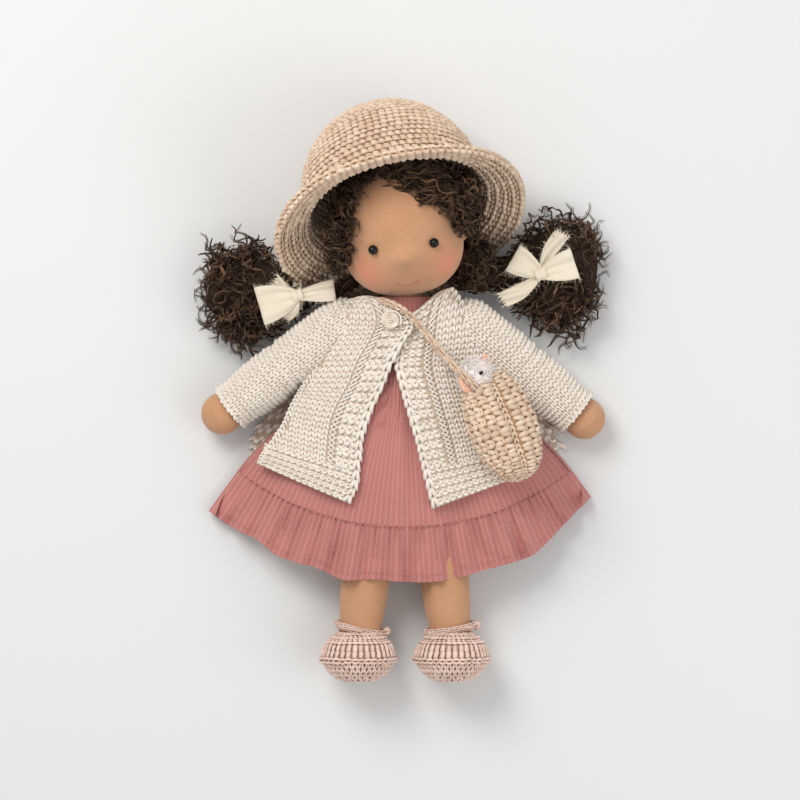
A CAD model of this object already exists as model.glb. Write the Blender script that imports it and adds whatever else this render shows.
"""The looks of a waldorf doll that lies on its back: jersey skin, mohair curls, knitted clothes.

Metres. +Z is up, out of the doll's chest. +Y points to the head and +X to the doll's left arm.
Every stitched piece is made the same way: a small stitch is modelled once, and then laid over a surface that is
given as a function of two shares, u across and v along.
"""

import logging
import math
from collections.abc import Callable, Sequence
from dataclasses import dataclass, field
from enum import Enum

import bmesh
import bpy
import numpy as np
from mathutils import Matrix, Vector


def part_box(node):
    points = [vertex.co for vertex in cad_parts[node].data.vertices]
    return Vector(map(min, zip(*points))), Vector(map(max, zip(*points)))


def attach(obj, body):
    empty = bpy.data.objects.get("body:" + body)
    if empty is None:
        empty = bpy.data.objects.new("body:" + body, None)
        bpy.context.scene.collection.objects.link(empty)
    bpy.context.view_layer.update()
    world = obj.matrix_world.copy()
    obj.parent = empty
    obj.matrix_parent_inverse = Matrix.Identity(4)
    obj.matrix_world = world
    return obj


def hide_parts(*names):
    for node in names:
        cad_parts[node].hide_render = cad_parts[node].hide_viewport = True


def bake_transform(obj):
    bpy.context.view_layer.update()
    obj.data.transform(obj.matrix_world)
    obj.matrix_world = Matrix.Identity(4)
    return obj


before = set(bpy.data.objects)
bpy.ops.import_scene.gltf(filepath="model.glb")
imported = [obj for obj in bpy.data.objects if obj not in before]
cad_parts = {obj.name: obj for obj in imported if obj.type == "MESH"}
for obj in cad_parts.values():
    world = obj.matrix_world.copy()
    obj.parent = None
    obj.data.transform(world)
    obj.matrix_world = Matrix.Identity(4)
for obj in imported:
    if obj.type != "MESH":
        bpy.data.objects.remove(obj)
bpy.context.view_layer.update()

logging.basicConfig(level=logging.INFO, format="%(message)s")
log = logging.getLogger("doll")

Array = np.ndarray
Surface = Callable[[Array, Array], Array]
Colour = tuple[float, float, float]
Socket = bpy.types.NodeSocket
Piece = bpy.types.Object
Shape = bmesh.types.BMesh

SEED = 7
GAP = 0.0003
KNIT = 0.0036
CLOTH = 0.0012
RAFFIA = 0.0034


class Side(Enum):
    """A side of the picture, with the sign of its X."""

    LEFT = -1
    RIGHT = 1

    @property
    def word(self) -> str:
        """The side's name in the names of pieces."""
        return self.name.lower()


# Numbers and shapes


def unit(vectors: Array) -> Array:
    """Vectors scaled to length 1."""
    return vectors / np.maximum(np.linalg.norm(vectors, axis=-1, keepdims=True), 1e-9)


def smooth_step(value: Array, start: float, end: float) -> Array:
    """0 before start, 1 after end, and a smooth rise between."""
    share = np.clip((value - start) / (end - start), 0, 1)
    return share * share * (3 - 2 * share)


def curve_through(rows: Sequence[Sequence[float]], at: Array) -> Array:
    """A table read on a smooth curve through its rows.

    Args:
        rows: each row is a place and the values there.
        at: the places to read.

    Returns:
        One row of values for each place.
    """
    table = np.array(rows, float)
    places, values = table[:, 0], table[:, 1:]
    slopes = np.empty_like(values)
    slopes[1:-1] = (values[2:] - values[:-2]) / 2
    slopes[0] = values[1] - values[0]
    slopes[-1] = values[-1] - values[-2]
    at = np.clip(np.asarray(at, float), places[0], places[-1])
    i = np.clip(np.searchsorted(places, at, side="right") - 1, 0, len(places) - 2)
    t = ((at - places[i]) / (places[i + 1] - places[i]))[..., None]
    a, b, ma, mb = values[i], values[i + 1], slopes[i], slopes[i + 1]
    return a + t * ma + t**2 * (3 * (b - a) - 2 * ma - mb) + t**3 * (ma + mb - 2 * (b - a))


def along_points(points: Sequence[Sequence[float]], at: Array) -> Array:
    """Points on a smooth curve through a list of points."""
    return curve_through([(k / (len(points) - 1), *p) for k, p in enumerate(points)], at)


def xyz(x: Array, y: Array, z: Array) -> Array:
    """Three rows of coordinates as rows of points."""
    return np.stack(np.broadcast_arrays(x, y, z), axis=-1).astype(float)


def hill(*offs: Array | float) -> Array:
    """1 at the middle of a round hill, and less away from it."""
    return np.exp(-sum(off * off for off in offs))


@dataclass
class Line:
    """The middle line of a limb, with the ways along it, across it level with the floor, and up from it."""

    start: Array
    end: Array

    def __post_init__(self) -> None:
        """Work out its length and its directions."""
        self.length = float(np.linalg.norm(self.end - self.start))
        self.way = unit(self.end - self.start)
        self.across = unit(np.cross(self.way, [0.0, 0.0, 1.0]))
        self.up = np.cross(self.across, self.way)

    def ring(self, turn: Array, along: Array, radius: Array, tall: Array | float = 1.0) -> Array:
        """Points round the line."""
        side = self.across * np.cos(turn)[..., None] + self.up * (np.sin(turn) * tall)[..., None]
        return self.start + self.way * np.asarray(along)[..., None] + side * np.asarray(radius)[..., None]


def surface_normals(surface: Surface, u: Array, v: Array, step: float = 2e-3) -> Array:
    """A surface's outward normals."""
    across = surface(u + step, v) - surface(u - step, v)
    along = surface(u, v + step) - surface(u, v - step)
    return unit(np.cross(across, along))


# Meshes


def mesh_object(name: str, bm: Shape, finish: "Finish") -> Piece:
    """A smooth object from a bmesh, which is freed."""
    return finished(name, freed(name, bm), finish)


def freed(name: str, bm: Shape) -> bpy.types.Mesh:
    """A mesh from a bmesh, which is freed."""
    mesh = bpy.data.meshes.new(name)
    bm.to_mesh(mesh)
    bm.free()
    return mesh


def finished(name: str, mesh: bpy.types.Mesh, finish: "Finish") -> Piece:
    """An object from a mesh, with its finish.

    Args:
        name: the piece's name.
        mesh: its shape.
        finish: its finish.

    Returns:
        The new object.
    """
    mesh.shade_smooth()
    mesh.materials.append(finish.material())
    made = bpy.data.objects.new(name, mesh)
    bpy.context.scene.collection.objects.link(made)
    return made


def numbered(mesh: bpy.types.Mesh, name: str, values: Array) -> None:
    """Give each point of a mesh a number."""
    mesh.attributes.new(name, "FLOAT", "POINT").data.foreach_set("value", values.astype(np.float32))


def points_of(mesh: bpy.types.Mesh) -> Array:
    """A mesh's points, in rows."""
    flat = np.empty(len(mesh.vertices) * 3, np.float32)
    mesh.vertices.foreach_get("co", flat)
    return flat.reshape(-1, 3).astype(float)


def shaped(bm: Shape, rule: Callable[[Array], Array]) -> Shape:
    """A bmesh whose points are moved by a rule."""
    for vert, point in zip(bm.verts, rule(np.array([v.co for v in bm.verts])), strict=True):
        vert.co = point
    return bm


def ball(around: int, rings: int, rule: Callable[[Array], Array], lying: bool = False) -> Shape:
    """A unit ball whose points are moved by a rule.

    Args:
        around: faces round it.
        rings: faces from pole to pole.
        rule: where its points go.
        lying: whether its poles lie along Y.

    Returns:
        The new bmesh.
    """
    bm = bmesh.new()
    bmesh.ops.create_uvsphere(bm, u_segments=around, v_segments=rings, radius=1)
    if lying:
        bmesh.ops.rotate(bm, verts=bm.verts, matrix=Matrix.Rotation(math.pi / 2, 3, "X"))
    return shaped(bm, rule)


def closed(bm: Shape) -> Shape:
    """A bmesh with its holes filled and its faces turned outwards."""
    bmesh.ops.holes_fill(bm, edges=bm.edges)
    bmesh.ops.recalc_face_normals(bm, faces=bm.faces)
    return bm


def sheet_mesh(columns: int, rows: int, surface: Surface, weld: bool = True) -> Shape:
    """A grid laid on a surface.

    Args:
        columns: faces across.
        rows: faces along.
        surface: where each share of the grid goes.
        weld: whether points that meet are joined.

    Returns:
        The new bmesh.
    """
    bm = bmesh.new()
    bmesh.ops.create_grid(bm, x_segments=columns, y_segments=rows, size=1)
    shaped(bm, lambda flat: surface(*np.round((flat[:, :2].T + 1) / 2, 6)))
    if weld:
        bmesh.ops.remove_doubles(bm, verts=bm.verts, dist=1e-6)
        bmesh.ops.recalc_face_normals(bm, faces=bm.faces)
        if bm.calc_volume(signed=True) < 0:
            bmesh.ops.reverse_faces(bm, faces=bm.faces)
    return bm


def thickened(bm: Shape, thickness: float) -> Shape:
    """A sheet given a thickness, half on each side.

    Args:
        bm: the sheet.
        thickness: in metres.

    Returns:
        The same bmesh.
    """
    bm.normal_update()
    for vert, normal in [(vert, vert.normal.copy()) for vert in bm.verts]:
        vert.co += normal * (thickness / 2)
    bmesh.ops.solidify(bm, geom=bm.faces[:], thickness=thickness)
    bmesh.ops.recalc_face_normals(bm, faces=bm.faces)
    for edge in bm.edges:
        edge.smooth = edge.calc_face_angle(0) < 1.0
    return bm


def swept(bm: Shape, path: Sequence[Sequence[float]], widths: Sequence[float], sides: int = 5) -> None:
    """Add a closed yarn that follows a path.

    Args:
        bm: the bmesh that it is added to.
        path: the points that its middle passes.
        widths: its radius at each point.
        sides: faces round it.
    """
    points = np.array(path, float)
    ways = unit(np.gradient(points, axis=0))
    ring: list[bmesh.types.BMEdge] = []
    for k, (point, way, width) in enumerate(zip(points, ways, widths, strict=True)):
        side = unit(np.cross(way, [0.0, 0.0, 1.0])) if abs(way[2]) < 0.95 else np.array([1.0, 0, 0])
        up = np.cross(side, way)
        turn = Matrix((side, up, way)).transposed().to_4x4()
        matrix = Matrix.Translation(point) @ turn
        if k == 0:
            made = bmesh.ops.create_circle(bm, cap_ends=False, segments=sides, radius=1)
            verts = made["verts"]
            ring = list({edge for vert in verts for edge in vert.link_edges})
            first = ring
        else:
            made = bmesh.ops.extrude_edge_only(bm, edges=ring)
            verts = [g for g in made["geom"] if isinstance(g, bmesh.types.BMVert)]
            ring = [g for g in made["geom"] if isinstance(g, bmesh.types.BMEdge) and g.is_boundary
                    and all(v in verts for v in g.verts)]
            bmesh.ops.transform(bm, matrix=last.inverted(), verts=verts)
        scaled = matrix @ Matrix.Diagonal((width, width, 1, 1))
        bmesh.ops.transform(bm, matrix=scaled, verts=verts)
        last = scaled
    for loop in (first, ring):
        bmesh.ops.edgeloop_fill(bm, edges=loop)


@dataclass(frozen=True)
class Stitch:
    """A stitch in its own cell: x and y run over the cell and z stands out of it."""

    mesh: bpy.types.Mesh
    points: Array

    @classmethod
    def of(cls, bm: Shape) -> "Stitch":
        """A stitch from a bmesh, which is freed."""
        bmesh.ops.recalc_face_normals(bm, faces=bm.faces)
        mesh = freed("stitch", bm)
        return cls(mesh, points_of(mesh))

    def copies(self, count: int, name: str) -> bpy.types.Mesh:
        """A mesh that holds the stitch many times.

        Args:
            count: how many times.
            name: the new mesh's name.

        Returns:
            The mesh.
        """
        bm = bmesh.new()
        bm.from_mesh(self.mesh)
        each, faces, made = len(bm.verts), len(bm.faces), 1
        while made < count:
            more = min(made, count - made)
            bm.verts.ensure_lookup_table()
            bm.faces.ensure_lookup_table()
            bmesh.ops.duplicate(bm, geom=bm.verts[:more * each] + bm.faces[:more * faces])
            made += more
        return freed(name, bm)


def yarn_stitch(*yarns: tuple[Sequence[Sequence[float]], Sequence[float]], sides: int = 5) -> Stitch:
    """A stitch made of a few short yarns.

    Args:
        yarns: each yarn's path and its radii.
        sides: faces round each yarn.

    Returns:
        The stitch.
    """
    bm = bmesh.new()
    for path, widths in yarns:
        swept(bm, path, widths, sides)
    return Stitch.of(bm)


def knit_vee() -> Stitch:
    """A knit stitch: two yarns that lean apart as a V."""
    legs = []
    for sign in (-1, 1):
        path = [(sign * 0.06, -0.66, -0.35), (sign * 0.15, -0.36, 0.10), (sign * 0.26, 0.0, 0.34),
                (sign * 0.36, 0.34, 0.16), (sign * 0.40, 0.62, -0.30)]
        legs.append((path, (0.11, 0.21, 0.245, 0.22, 0.12)))
    return yarn_stitch(*legs)


def garter_bump() -> Stitch:
    """A garter ridge's two bumps: one curls up and the next curls down."""
    up = [(-0.46, -0.20, -0.25), (-0.26, 0.02, 0.20), (0.0, 0.14, 0.42), (0.26, 0.02, 0.20), (0.46, -0.20, -0.25)]
    down = [(0.04, 0.02, -0.30), (0.24, -0.22, 0.10), (0.50, -0.33, 0.26), (0.76, -0.22, 0.10), (0.96, 0.02, -0.30)]
    widths = (0.14, 0.22, 0.24, 0.22, 0.14)
    return yarn_stitch((up, widths), (down, widths))


def crochet_stitch(sides: int = 5) -> Stitch:
    """A raffia crochet stitch: a fat loop across the cell, and a thinner one that slants under it."""
    loop = [(-0.48, 0.04, -0.25), (-0.28, 0.20, 0.20), (0.02, 0.26, 0.34), (0.30, 0.14, 0.20), (0.46, -0.04, -0.25)]
    foot = [(-0.36, -0.44, -0.20), (-0.06, -0.22, 0.22), (0.34, -0.36, 0.12), (0.52, -0.50, -0.20)]
    return yarn_stitch((loop, (0.13, 0.27, 0.31, 0.27, 0.13)), (foot, (0.10, 0.20, 0.20, 0.10)), sides=sides)


def garter_ridge() -> Stitch:
    """A fat purl bump of a band's ridge, and the smaller one that hangs from it."""
    up = [(-0.46, -0.14, -0.25), (-0.26, 0.06, 0.18), (0.0, 0.18, 0.34), (0.26, 0.06, 0.18), (0.46, -0.14, -0.25)]
    down = [(0.10, -0.06, -0.30), (0.28, -0.24, 0.08), (0.50, -0.32, 0.18), (0.72, -0.24, 0.08), (0.90, -0.06, -0.30)]
    return yarn_stitch((up, (0.16, 0.27, 0.30, 0.27, 0.16)), (down, (0.14, 0.22, 0.24, 0.22, 0.14)))


def puff_stitch() -> Stitch:
    """A puffy crochet stitch: two fat straws side by side, under a thin one."""
    left = [(-0.40, -0.42, -0.25), (-0.34, -0.10, 0.30), (-0.20, 0.20, 0.36), (-0.04, 0.44, -0.10)]
    right = [(0.30, -0.44, -0.25), (0.26, -0.12, 0.32), (0.22, 0.18, 0.38), (0.16, 0.42, -0.10)]
    bar = [(-0.50, 0.40, -0.10), (-0.15, 0.52, 0.16), (0.20, 0.50, 0.18), (0.52, 0.38, -0.10)]
    return yarn_stitch((left, (0.13, 0.24, 0.25, 0.14)), (right, (0.13, 0.24, 0.25, 0.14)),
                       (bar, (0.08, 0.12, 0.12, 0.08)))


@dataclass
class Cells:
    """Where stitches go: each cell's middle and spans, in a surface's shares, and its height in metres."""

    u: Array
    v: Array
    du: Array
    dv: Array
    high: Array

    @classmethod
    def of(cls, *rows: Array | float) -> "Cells":
        """Cells from five rows of numbers, where one number stands for a whole row."""
        return cls(*np.array(np.broadcast_arrays(*rows), float))

    @classmethod
    def joined(cls, parts: Sequence["Cells"]) -> "Cells":
        """Several sets of cells as one."""
        return cls(*(np.concatenate(rows) for rows in zip(*(part.arrays() for part in parts), strict=True)))

    @classmethod
    def rows(cls, columns: int, rows: int, high: float, u_range: tuple[float, float] = (0, 1),
             v_range: tuple[float, float] = (0, 1), shift: float = 0.0) -> "Cells":
        """An even grid of cells.

        Args:
            columns: cells across.
            rows: cells along.
            high: the stitches' height.
            u_range: the shares that the columns fill.
            v_range: the shares that the rows fill.
            shift: how far each second row is moved, in cells.

        Returns:
            The cells.
        """
        wide, long = (u_range[1] - u_range[0]) / columns, (v_range[1] - v_range[0]) / rows
        row, column = np.divmod(np.arange(columns * rows), columns)
        u = u_range[0] + (column + 0.5 + shift * (row % 2)) * wide
        v = v_range[0] + (row + 0.5) * long
        return cls.of(u, v, wide, long, high)

    def keep(self, wanted: Array) -> "Cells":
        """The cells for which a test is true."""
        return Cells(*(row[wanted] for row in self.arrays()))

    def arrays(self) -> tuple[Array, ...]:
        """The five rows of numbers."""
        return self.u, self.v, self.du, self.dv, self.high


def laid(name: str, stitch: Stitch, cells: Cells, surface: Surface, finish: "Finish", jitter: float = 0.06,
         lift: float = 0.0) -> Piece:
    """One stitch laid over a surface, once in each cell.

    Args:
        name: the piece's name.
        stitch: the stitch.
        cells: where it goes.
        surface: the surface under it.
        finish: its finish.
        jitter: how uneven the stitches are, as a share of a cell.
        lift: how far off the surface they lie, in metres.

    Returns:
        The new object.
    """
    random = np.random.default_rng(SEED + len(name))
    count = len(cells.u)
    uneven = 1 + random.normal(0, jitter, (count, 1))
    off = random.normal(0, jitter / 2, (count, 2))
    u = cells.u[:, None] + (stitch.points[:, 0] * uneven + off[:, :1]) * cells.du[:, None]
    v = cells.v[:, None] + (stitch.points[:, 1] * uneven + off[:, 1:]) * cells.dv[:, None]
    u, v = u.ravel(), v.ravel()
    out = (stitch.points[:, 2] * cells.high[:, None] * uneven).ravel() + lift
    points = surface(u, v) + surface_normals(surface, u, v) * out[:, None]
    mesh = stitch.copies(count, name)
    mesh.vertices.foreach_set("co", points.astype(np.float32).ravel())
    mesh.update()
    numbered(mesh, "shade", np.repeat(random.uniform(0, 1, count), len(stitch.points)))
    return finished(name, mesh, finish)


def strands(name: str, paths: Array, radius: float, finish: "Finish") -> Piece:
    """Many thin hairs or yarns as one mesh.

    Args:
        name: the piece's name.
        paths: for each strand, its points.
        radius: the strands' radius at their thickest.
        finish: their finish.

    Returns:
        The new object.
    """
    curve = bpy.data.curves.new(name + "_path", "CURVE")
    curve.dimensions = "3D"
    section = bpy.data.curves.new(name + "_section", "CURVE")
    ring = section.splines.new("POLY")
    ring.points.add(2)
    for point, turn in zip(ring.points, (0.0, 2 * math.pi / 3, 4 * math.pi / 3), strict=True):
        point.co = (radius * math.cos(turn), radius * math.sin(turn), 0, 1)
    ring.use_cyclic_u = True
    outline = bpy.data.objects.new(name + "_section", section)
    curve.bevel_mode = "OBJECT"
    curve.bevel_object = outline
    curve.use_fill_caps = True
    count = paths.shape[1]
    taper = 1 - 0.75 * np.linspace(0, 1, count) ** 3
    for path in paths:
        spline = curve.splines.new("POLY")
        spline.points.add(count - 1)
        spline.points.foreach_set("co", np.column_stack([path, np.ones(count)]).astype(np.float32).ravel())
        spline.points.foreach_set("radius", taper.astype(np.float32))
    holder = bpy.data.objects.new(name + "_path", curve)
    bpy.context.scene.collection.objects.link(holder)
    graph = bpy.context.evaluated_depsgraph_get()
    mesh = bpy.data.meshes.new_from_object(holder.evaluated_get(graph))
    bpy.data.objects.remove(holder)
    bpy.data.objects.remove(outline)
    bpy.data.curves.remove(curve)
    bpy.data.curves.remove(section)
    per = len(mesh.vertices) // len(paths)
    random = np.random.default_rng(SEED + len(name))
    numbered(mesh, "shade", np.repeat(random.uniform(0, 1, len(paths)) ** 3, per))
    mesh.name = name
    return finished(name, mesh, finish)


# Finishes


@dataclass
class Wiring:
    """A material's nodes while they are wired, with the coordinates that its patterns follow."""

    tree: bpy.types.NodeTree

    def __post_init__(self) -> None:
        """Add the coordinates."""
        self.place = self.node("TexCoord").outputs["Object"]

    def node(self, kind: str) -> bpy.types.Node:
        """A new node."""
        return self.tree.nodes.new(f"ShaderNode{kind}")

    def feed(self, node: bpy.types.Node, values: dict, out: int | str = 0) -> Socket:
        """Set or link a node's inputs.

        Args:
            node: the node.
            values: for each input, a constant or another node's output.
            out: the output that is wanted.

        Returns:
            That output.
        """
        for key, value in values.items():
            if isinstance(value, Socket):
                self.tree.links.new(value, node.inputs[key])
            else:
                node.inputs[key].default_value = value
        return node.outputs[out]

    def noise(self, scale: float, detail: float) -> Socket:
        """A noise texture's value."""
        return self.feed(self.node("TexNoise"), {"Vector": self.place, "Scale": scale, "Detail": detail}, "Fac")

    def calc(self, operation: str, *values: Socket | float) -> Socket:
        """A sum of numbers and other nodes' values."""
        made = self.node("Math")
        made.operation = operation
        return self.feed(made, dict(enumerate(values)))

    def measure(self, operation: str, vector: Colour) -> Socket:
        """The place on the object, measured against a vector."""
        made = self.node("VectorMath")
        made.operation = operation
        return self.feed(made, {0: self.place, 1: vector}, "Value")

    def mixed(self, share: Socket, below: Socket, above: Colour) -> Socket:
        """A colour over another."""
        made = self.node("Mix")
        made.data_type = "RGBA"
        return self.feed(made, {0: share, 6: below, 7: (*above, 1)}, 2)

    def attribute(self, name: str) -> Socket:
        """A number that each point of the mesh has."""
        made = self.node("Attribute")
        made.attribute_name = name
        return made.outputs["Fac"]


@dataclass(frozen=True)
class Finish:
    """A fibre's finish: its colours, the size of its grain and how it takes the light."""

    name: str
    slot: str
    dark: Colour
    light: Colour
    rough: float = 0.85
    sheen: float = 0.0
    grain: float = 900.0
    bump: float = 0.25
    patch: float = 40.0
    by_strand: bool = False

    def material(self) -> bpy.types.Material:
        """The finish as a material, made once.

        Returns:
            The material.
        """
        made = bpy.data.materials.get(self.name)
        if made is None:
            made = bpy.data.materials.new(self.name)
            made.use_nodes = True
            self.nodes(Wiring(made.node_tree), made.node_tree.nodes["Principled BSDF"])
            made.diffuse_color = (*self.light, 1)
        return made

    def nodes(self, wiring: Wiring, surface: bpy.types.Node) -> None:
        """Wire the finish.

        Args:
            wiring: the material's nodes.
            surface: its shader.
        """
        fine = wiring.noise(self.grain, 3)
        broad = wiring.attribute("shade") if self.by_strand else wiring.noise(self.patch, 2)
        ramp = wiring.node("ValToRGB")
        ends = ((0.25, self.dark), (0.75, self.light))
        for element, (at, colour) in zip(ramp.color_ramp.elements, ends, strict=True):
            element.position = at
            element.color = (*colour, 1)
        tone = wiring.calc("MULTIPLY_ADD", fine, 0.45, wiring.calc("MULTIPLY", broad, 0.55))
        bump = wiring.feed(wiring.node("Bump"),
                           {"Strength": self.bump, "Distance": 0.0004, "Height": self.relief(wiring, fine)})
        colour = self.tinted(wiring, wiring.feed(ramp, {"Fac": tone}))
        wiring.feed(surface, {"Roughness": self.rough, "Sheen Weight": self.sheen, "Specular IOR Level": 0.25,
                              "Base Color": colour, "Normal": bump})

    def tinted(self, wiring: Wiring, colour: Socket) -> Socket:
        """The colour with what this kind of finish adds to it."""
        return colour

    def relief(self, wiring: Wiring, fine: Socket) -> Socket:
        """The height of the finish's relief, over its fine grain."""
        return fine


@dataclass(frozen=True)
class Jersey(Finish):
    """Cotton jersey: fine ribs that run one way, and a blush where the cheeks are."""

    ribs: Colour = (1.0, 0.0, 0.0)
    rib_width: float = 0.00085
    cheeks: tuple[Colour, ...] = ()
    cheek_radius: float = 0.0122
    blush: Colour = (0.76, 0.25, 0.16)

    def relief(self, wiring: Wiring, fine: Socket) -> Socket:
        """Ribs over the grain."""
        turn = wiring.calc("MULTIPLY", wiring.measure("DOT_PRODUCT", self.ribs), 2 * math.pi / self.rib_width)
        return wiring.calc("MULTIPLY_ADD", wiring.calc("SINE", turn), 0.5, fine)

    def tinted(self, wiring: Wiring, colour: Socket) -> Socket:
        """The cheeks' rouge, rubbed thin at its edge."""
        for cheek in self.cheeks:
            share = wiring.calc("DIVIDE", wiring.measure("DISTANCE", cheek), self.cheek_radius)
            thin = wiring.calc("EXPONENT", wiring.calc("MULTIPLY", wiring.calc("POWER", share, 2.2), -1.6))
            colour = wiring.mixed(wiring.calc("MULTIPLY", thin, 0.62), colour, self.blush)
        return colour


@dataclass(frozen=True)
class Pinstripe(Finish):
    """Woven cotton with a fine pale stripe that runs down the cloth."""

    stripe: Colour = (0.64, 0.34, 0.32)
    width: float = 0.13
    soft: float = 0.04

    def tinted(self, wiring: Wiring, colour: Socket) -> Socket:
        """The stripe, one in each whole number of the mesh's own count across."""
        part = wiring.calc("FRACT", wiring.attribute("count"))
        off = wiring.calc("ABSOLUTE", wiring.calc("SUBTRACT", part, 0.5))
        start, end = self.width / 2 - self.soft, self.width / 2 + self.soft
        edge = {"Value": off, "From Min": start, "From Max": end, "To Min": 0.6, "To Max": 0.0}
        return wiring.mixed(wiring.feed(wiring.node("MapRange"), edge), colour, self.stripe)


@dataclass(frozen=True)
class Glossy(Finish):
    """Polished bead or shell."""

    coat: float = 0.6

    def nodes(self, wiring: Wiring, surface: bpy.types.Node) -> None:
        """Wire the finish, with a clear coat."""
        super().nodes(wiring, surface)
        wiring.feed(surface, {"Coat Weight": self.coat, "Coat Roughness": 0.06, "Specular IOR Level": 0.2})


SKIN_DARK, SKIN_LIGHT = (0.465, 0.24, 0.125), (0.585, 0.32, 0.18)
HEAD_TILT = math.radians(6.5)
HEAD_SIZE = np.array([0.0325, 0.041, 0.034])
HEAD_CENTRE = np.array([-0.0025, 0.091, 0.046])
HEAD_TURN = np.array(Matrix.Rotation(HEAD_TILT, 3, "Z"))
EYE_HOLLOW, EYE_Y = 0.0012, -0.0145
EYE_X, EYE_DIMPLE, EYE_BAND, DIMPLE_WIDTH = 0.0166, 0.0007, 0.0124, 0.0036
NOSE_HIGH, NOSE_Y, NOSE_WIDTH, NOSE_LENGTH = 0.0050, -0.0225, 0.0054, 0.0046
CHEEKS = 0.06


def fullness(y: Array) -> Array:
    """How much wider than an egg the head is at its cheeks and its jaw."""
    low = np.clip(-y, 0, 0.999)
    return (1 - low**3) ** 0.385 / np.sqrt(1 - low**2) * (1 + CHEEKS * np.sin(math.pi * low))




def in_head(point: Sequence[float]) -> Array:
    """A point from the head's own axes in the doll's."""
    return HEAD_CENTRE + HEAD_TURN @ np.asarray(point, float)


def face_relief(x: Array, y: Array, z: Array) -> Array:
    """How far the nose stands out of the face, less the hollow across the eyes."""
    nose = NOSE_HIGH * hill(x / NOSE_WIDTH, (y - NOSE_Y) / NOSE_LENGTH)
    return nose - EYE_HOLLOW * z * hill((y - EYE_Y) / EYE_BAND)


def head_front(x: float, y: float, out: float = 0.0) -> Array:
    """A point on the face, from its place in the head's own axes.

    Args:
        x: across the face.
        y: up the face.
        out: how far it stands out of the skin.

    Returns:
        The point in the doll's axes.
    """
    wide, tall, deep = HEAD_SIZE * (float(fullness(np.array(y / HEAD_SIZE[1]))), 1, 1)
    share = math.sqrt(max(1 - (x / wide) ** 2 - (y / tall) ** 2, 0.01))
    z = deep * share + face_relief(x, y, share)
    normal = unit(np.array([x / wide**2, y / tall**2, z / deep**2]))
    return in_head(np.array([x, y, z]) + normal * out)


def head_points(way: Array, grow: float | Array = 0.0) -> Array:
    """The head's surface in directions from its centre, in the doll's axes.

    Args:
        way: unit directions in the head's own axes.
        grow: how far outside the head.

    Returns:
        The points.
    """
    x, y, z = np.moveaxis(way, -1, 0)
    px, py, pz = x * (HEAD_SIZE[0] + grow) * fullness(y), y * (HEAD_SIZE[1] + grow), z * (HEAD_SIZE[2] + grow)
    dimples = sum(hill((px - s * EYE_X) / DIMPLE_WIDTH, (py - EYE_Y) / DIMPLE_WIDTH) for s in (-1, 1))
    pz = pz + (z > 0) * (face_relief(px, py, z) - EYE_DIMPLE * dimples)
    return HEAD_CENTRE + xyz(px, py, pz) @ HEAD_TURN.T


BLUSH_AT = (tuple(head_front(-0.0225, -0.0275)), tuple(head_front(0.0235, -0.0270)))
MATT_SKIN = (SKIN_DARK, SKIN_LIGHT, 0.9, 0.25, 700, 0.30, 60)
ACROSS_HEAD = (math.cos(HEAD_TILT), math.sin(HEAD_TILT), 0.0)

SKIN = Jersey("jersey_skin", "skin", *MATT_SKIN, ribs=ACROSS_HEAD, cheeks=BLUSH_AT)
HAIR = Finish("mohair", "hair", (0.016, 0.008, 0.005), (0.31, 0.175, 0.10), 0.58, 0.0, 260, 0.1, 60, True)
HAIR_BASE = Finish("mohair_under", "hair", (0.018, 0.010, 0.006), (0.050, 0.028, 0.017), 0.95, 0.0, 500, 0.9, 90)
STRAW = Finish("raffia_straw", "raffia", (0.65, 0.475, 0.345), (0.79, 0.625, 0.48), 0.60, 0.10, 800, 0.35, 50, True)
STRAW_BASE = Finish("raffia_shade", "raffia", (0.34, 0.20, 0.11), (0.44, 0.27, 0.16), 0.9, 0.0, 700, 0.3, 60)
WOOL = Finish("knit_wool", "wool", (0.78, 0.71, 0.63), (0.835, 0.77, 0.695), 0.95, 0.35, 900, 0.35, 45, True)
WOOL_BASE = Finish("knit_wool_shade", "wool", (0.47, 0.375, 0.285), (0.57, 0.465, 0.36), 1.0, 0.1, 700, 0.6, 60)
DRESS = Pinstripe("rose_cotton", "dress", (0.42, 0.155, 0.14), (0.51, 0.205, 0.185), 0.9, 0.25, 1100, 0.22, 35)
SHOE = Finish("crochet_cotton", "shoe", (0.72, 0.515, 0.43), (0.83, 0.64, 0.555), 0.9, 0.25, 900, 0.35, 60, True)
SHOE_BASE = Finish("crochet_cotton_shade", "shoe", (0.42, 0.26, 0.20), (0.52, 0.34, 0.27), 1.0, 0.1, 800, 0.5, 60)
MUSLIN = Finish("torn_muslin", "bow", (0.70, 0.61, 0.48), (0.79, 0.72, 0.60), 0.9, 0.2, 1400, 0.45, 70)
FLUFF = Finish("pink_fluff", "plush", (0.93, 0.86, 0.84), (0.95, 0.91, 0.89), 0.95, 0.4, 500, 0.2, 120, True)
FLUFF_BASE = Finish("pink_fluff_under", "plush", (0.90, 0.80, 0.77), (0.93, 0.86, 0.83), 1.0, 0.2, 400, 0.8, 120)
PEACH = Finish("peach_felt", "plush", (0.72, 0.38, 0.26), (0.82, 0.50, 0.36), 0.95, 0.3, 900, 0.5, 90)
THREAD = Finish("pink_thread", "skin", (0.40, 0.15, 0.10), (0.50, 0.20, 0.14), 0.7, 0.1, 1500, 0.3, 60)
SEAM = Finish("skin_thread", "skin", (0.46, 0.24, 0.12), (0.58, 0.33, 0.18), 0.8, 0.1, 1500, 0.3, 60)
BEAD = Glossy("black_bead", "eye", (0.003, 0.002, 0.002), (0.008, 0.007, 0.006), 0.10, 0.0, 60, 0.0, 20, coat=0.15)
SHELL = Glossy("shell_button", "shell", (0.34, 0.24, 0.15), (0.84, 0.76, 0.64), 0.25, 0.0, 260, 0.15, 90)


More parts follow.
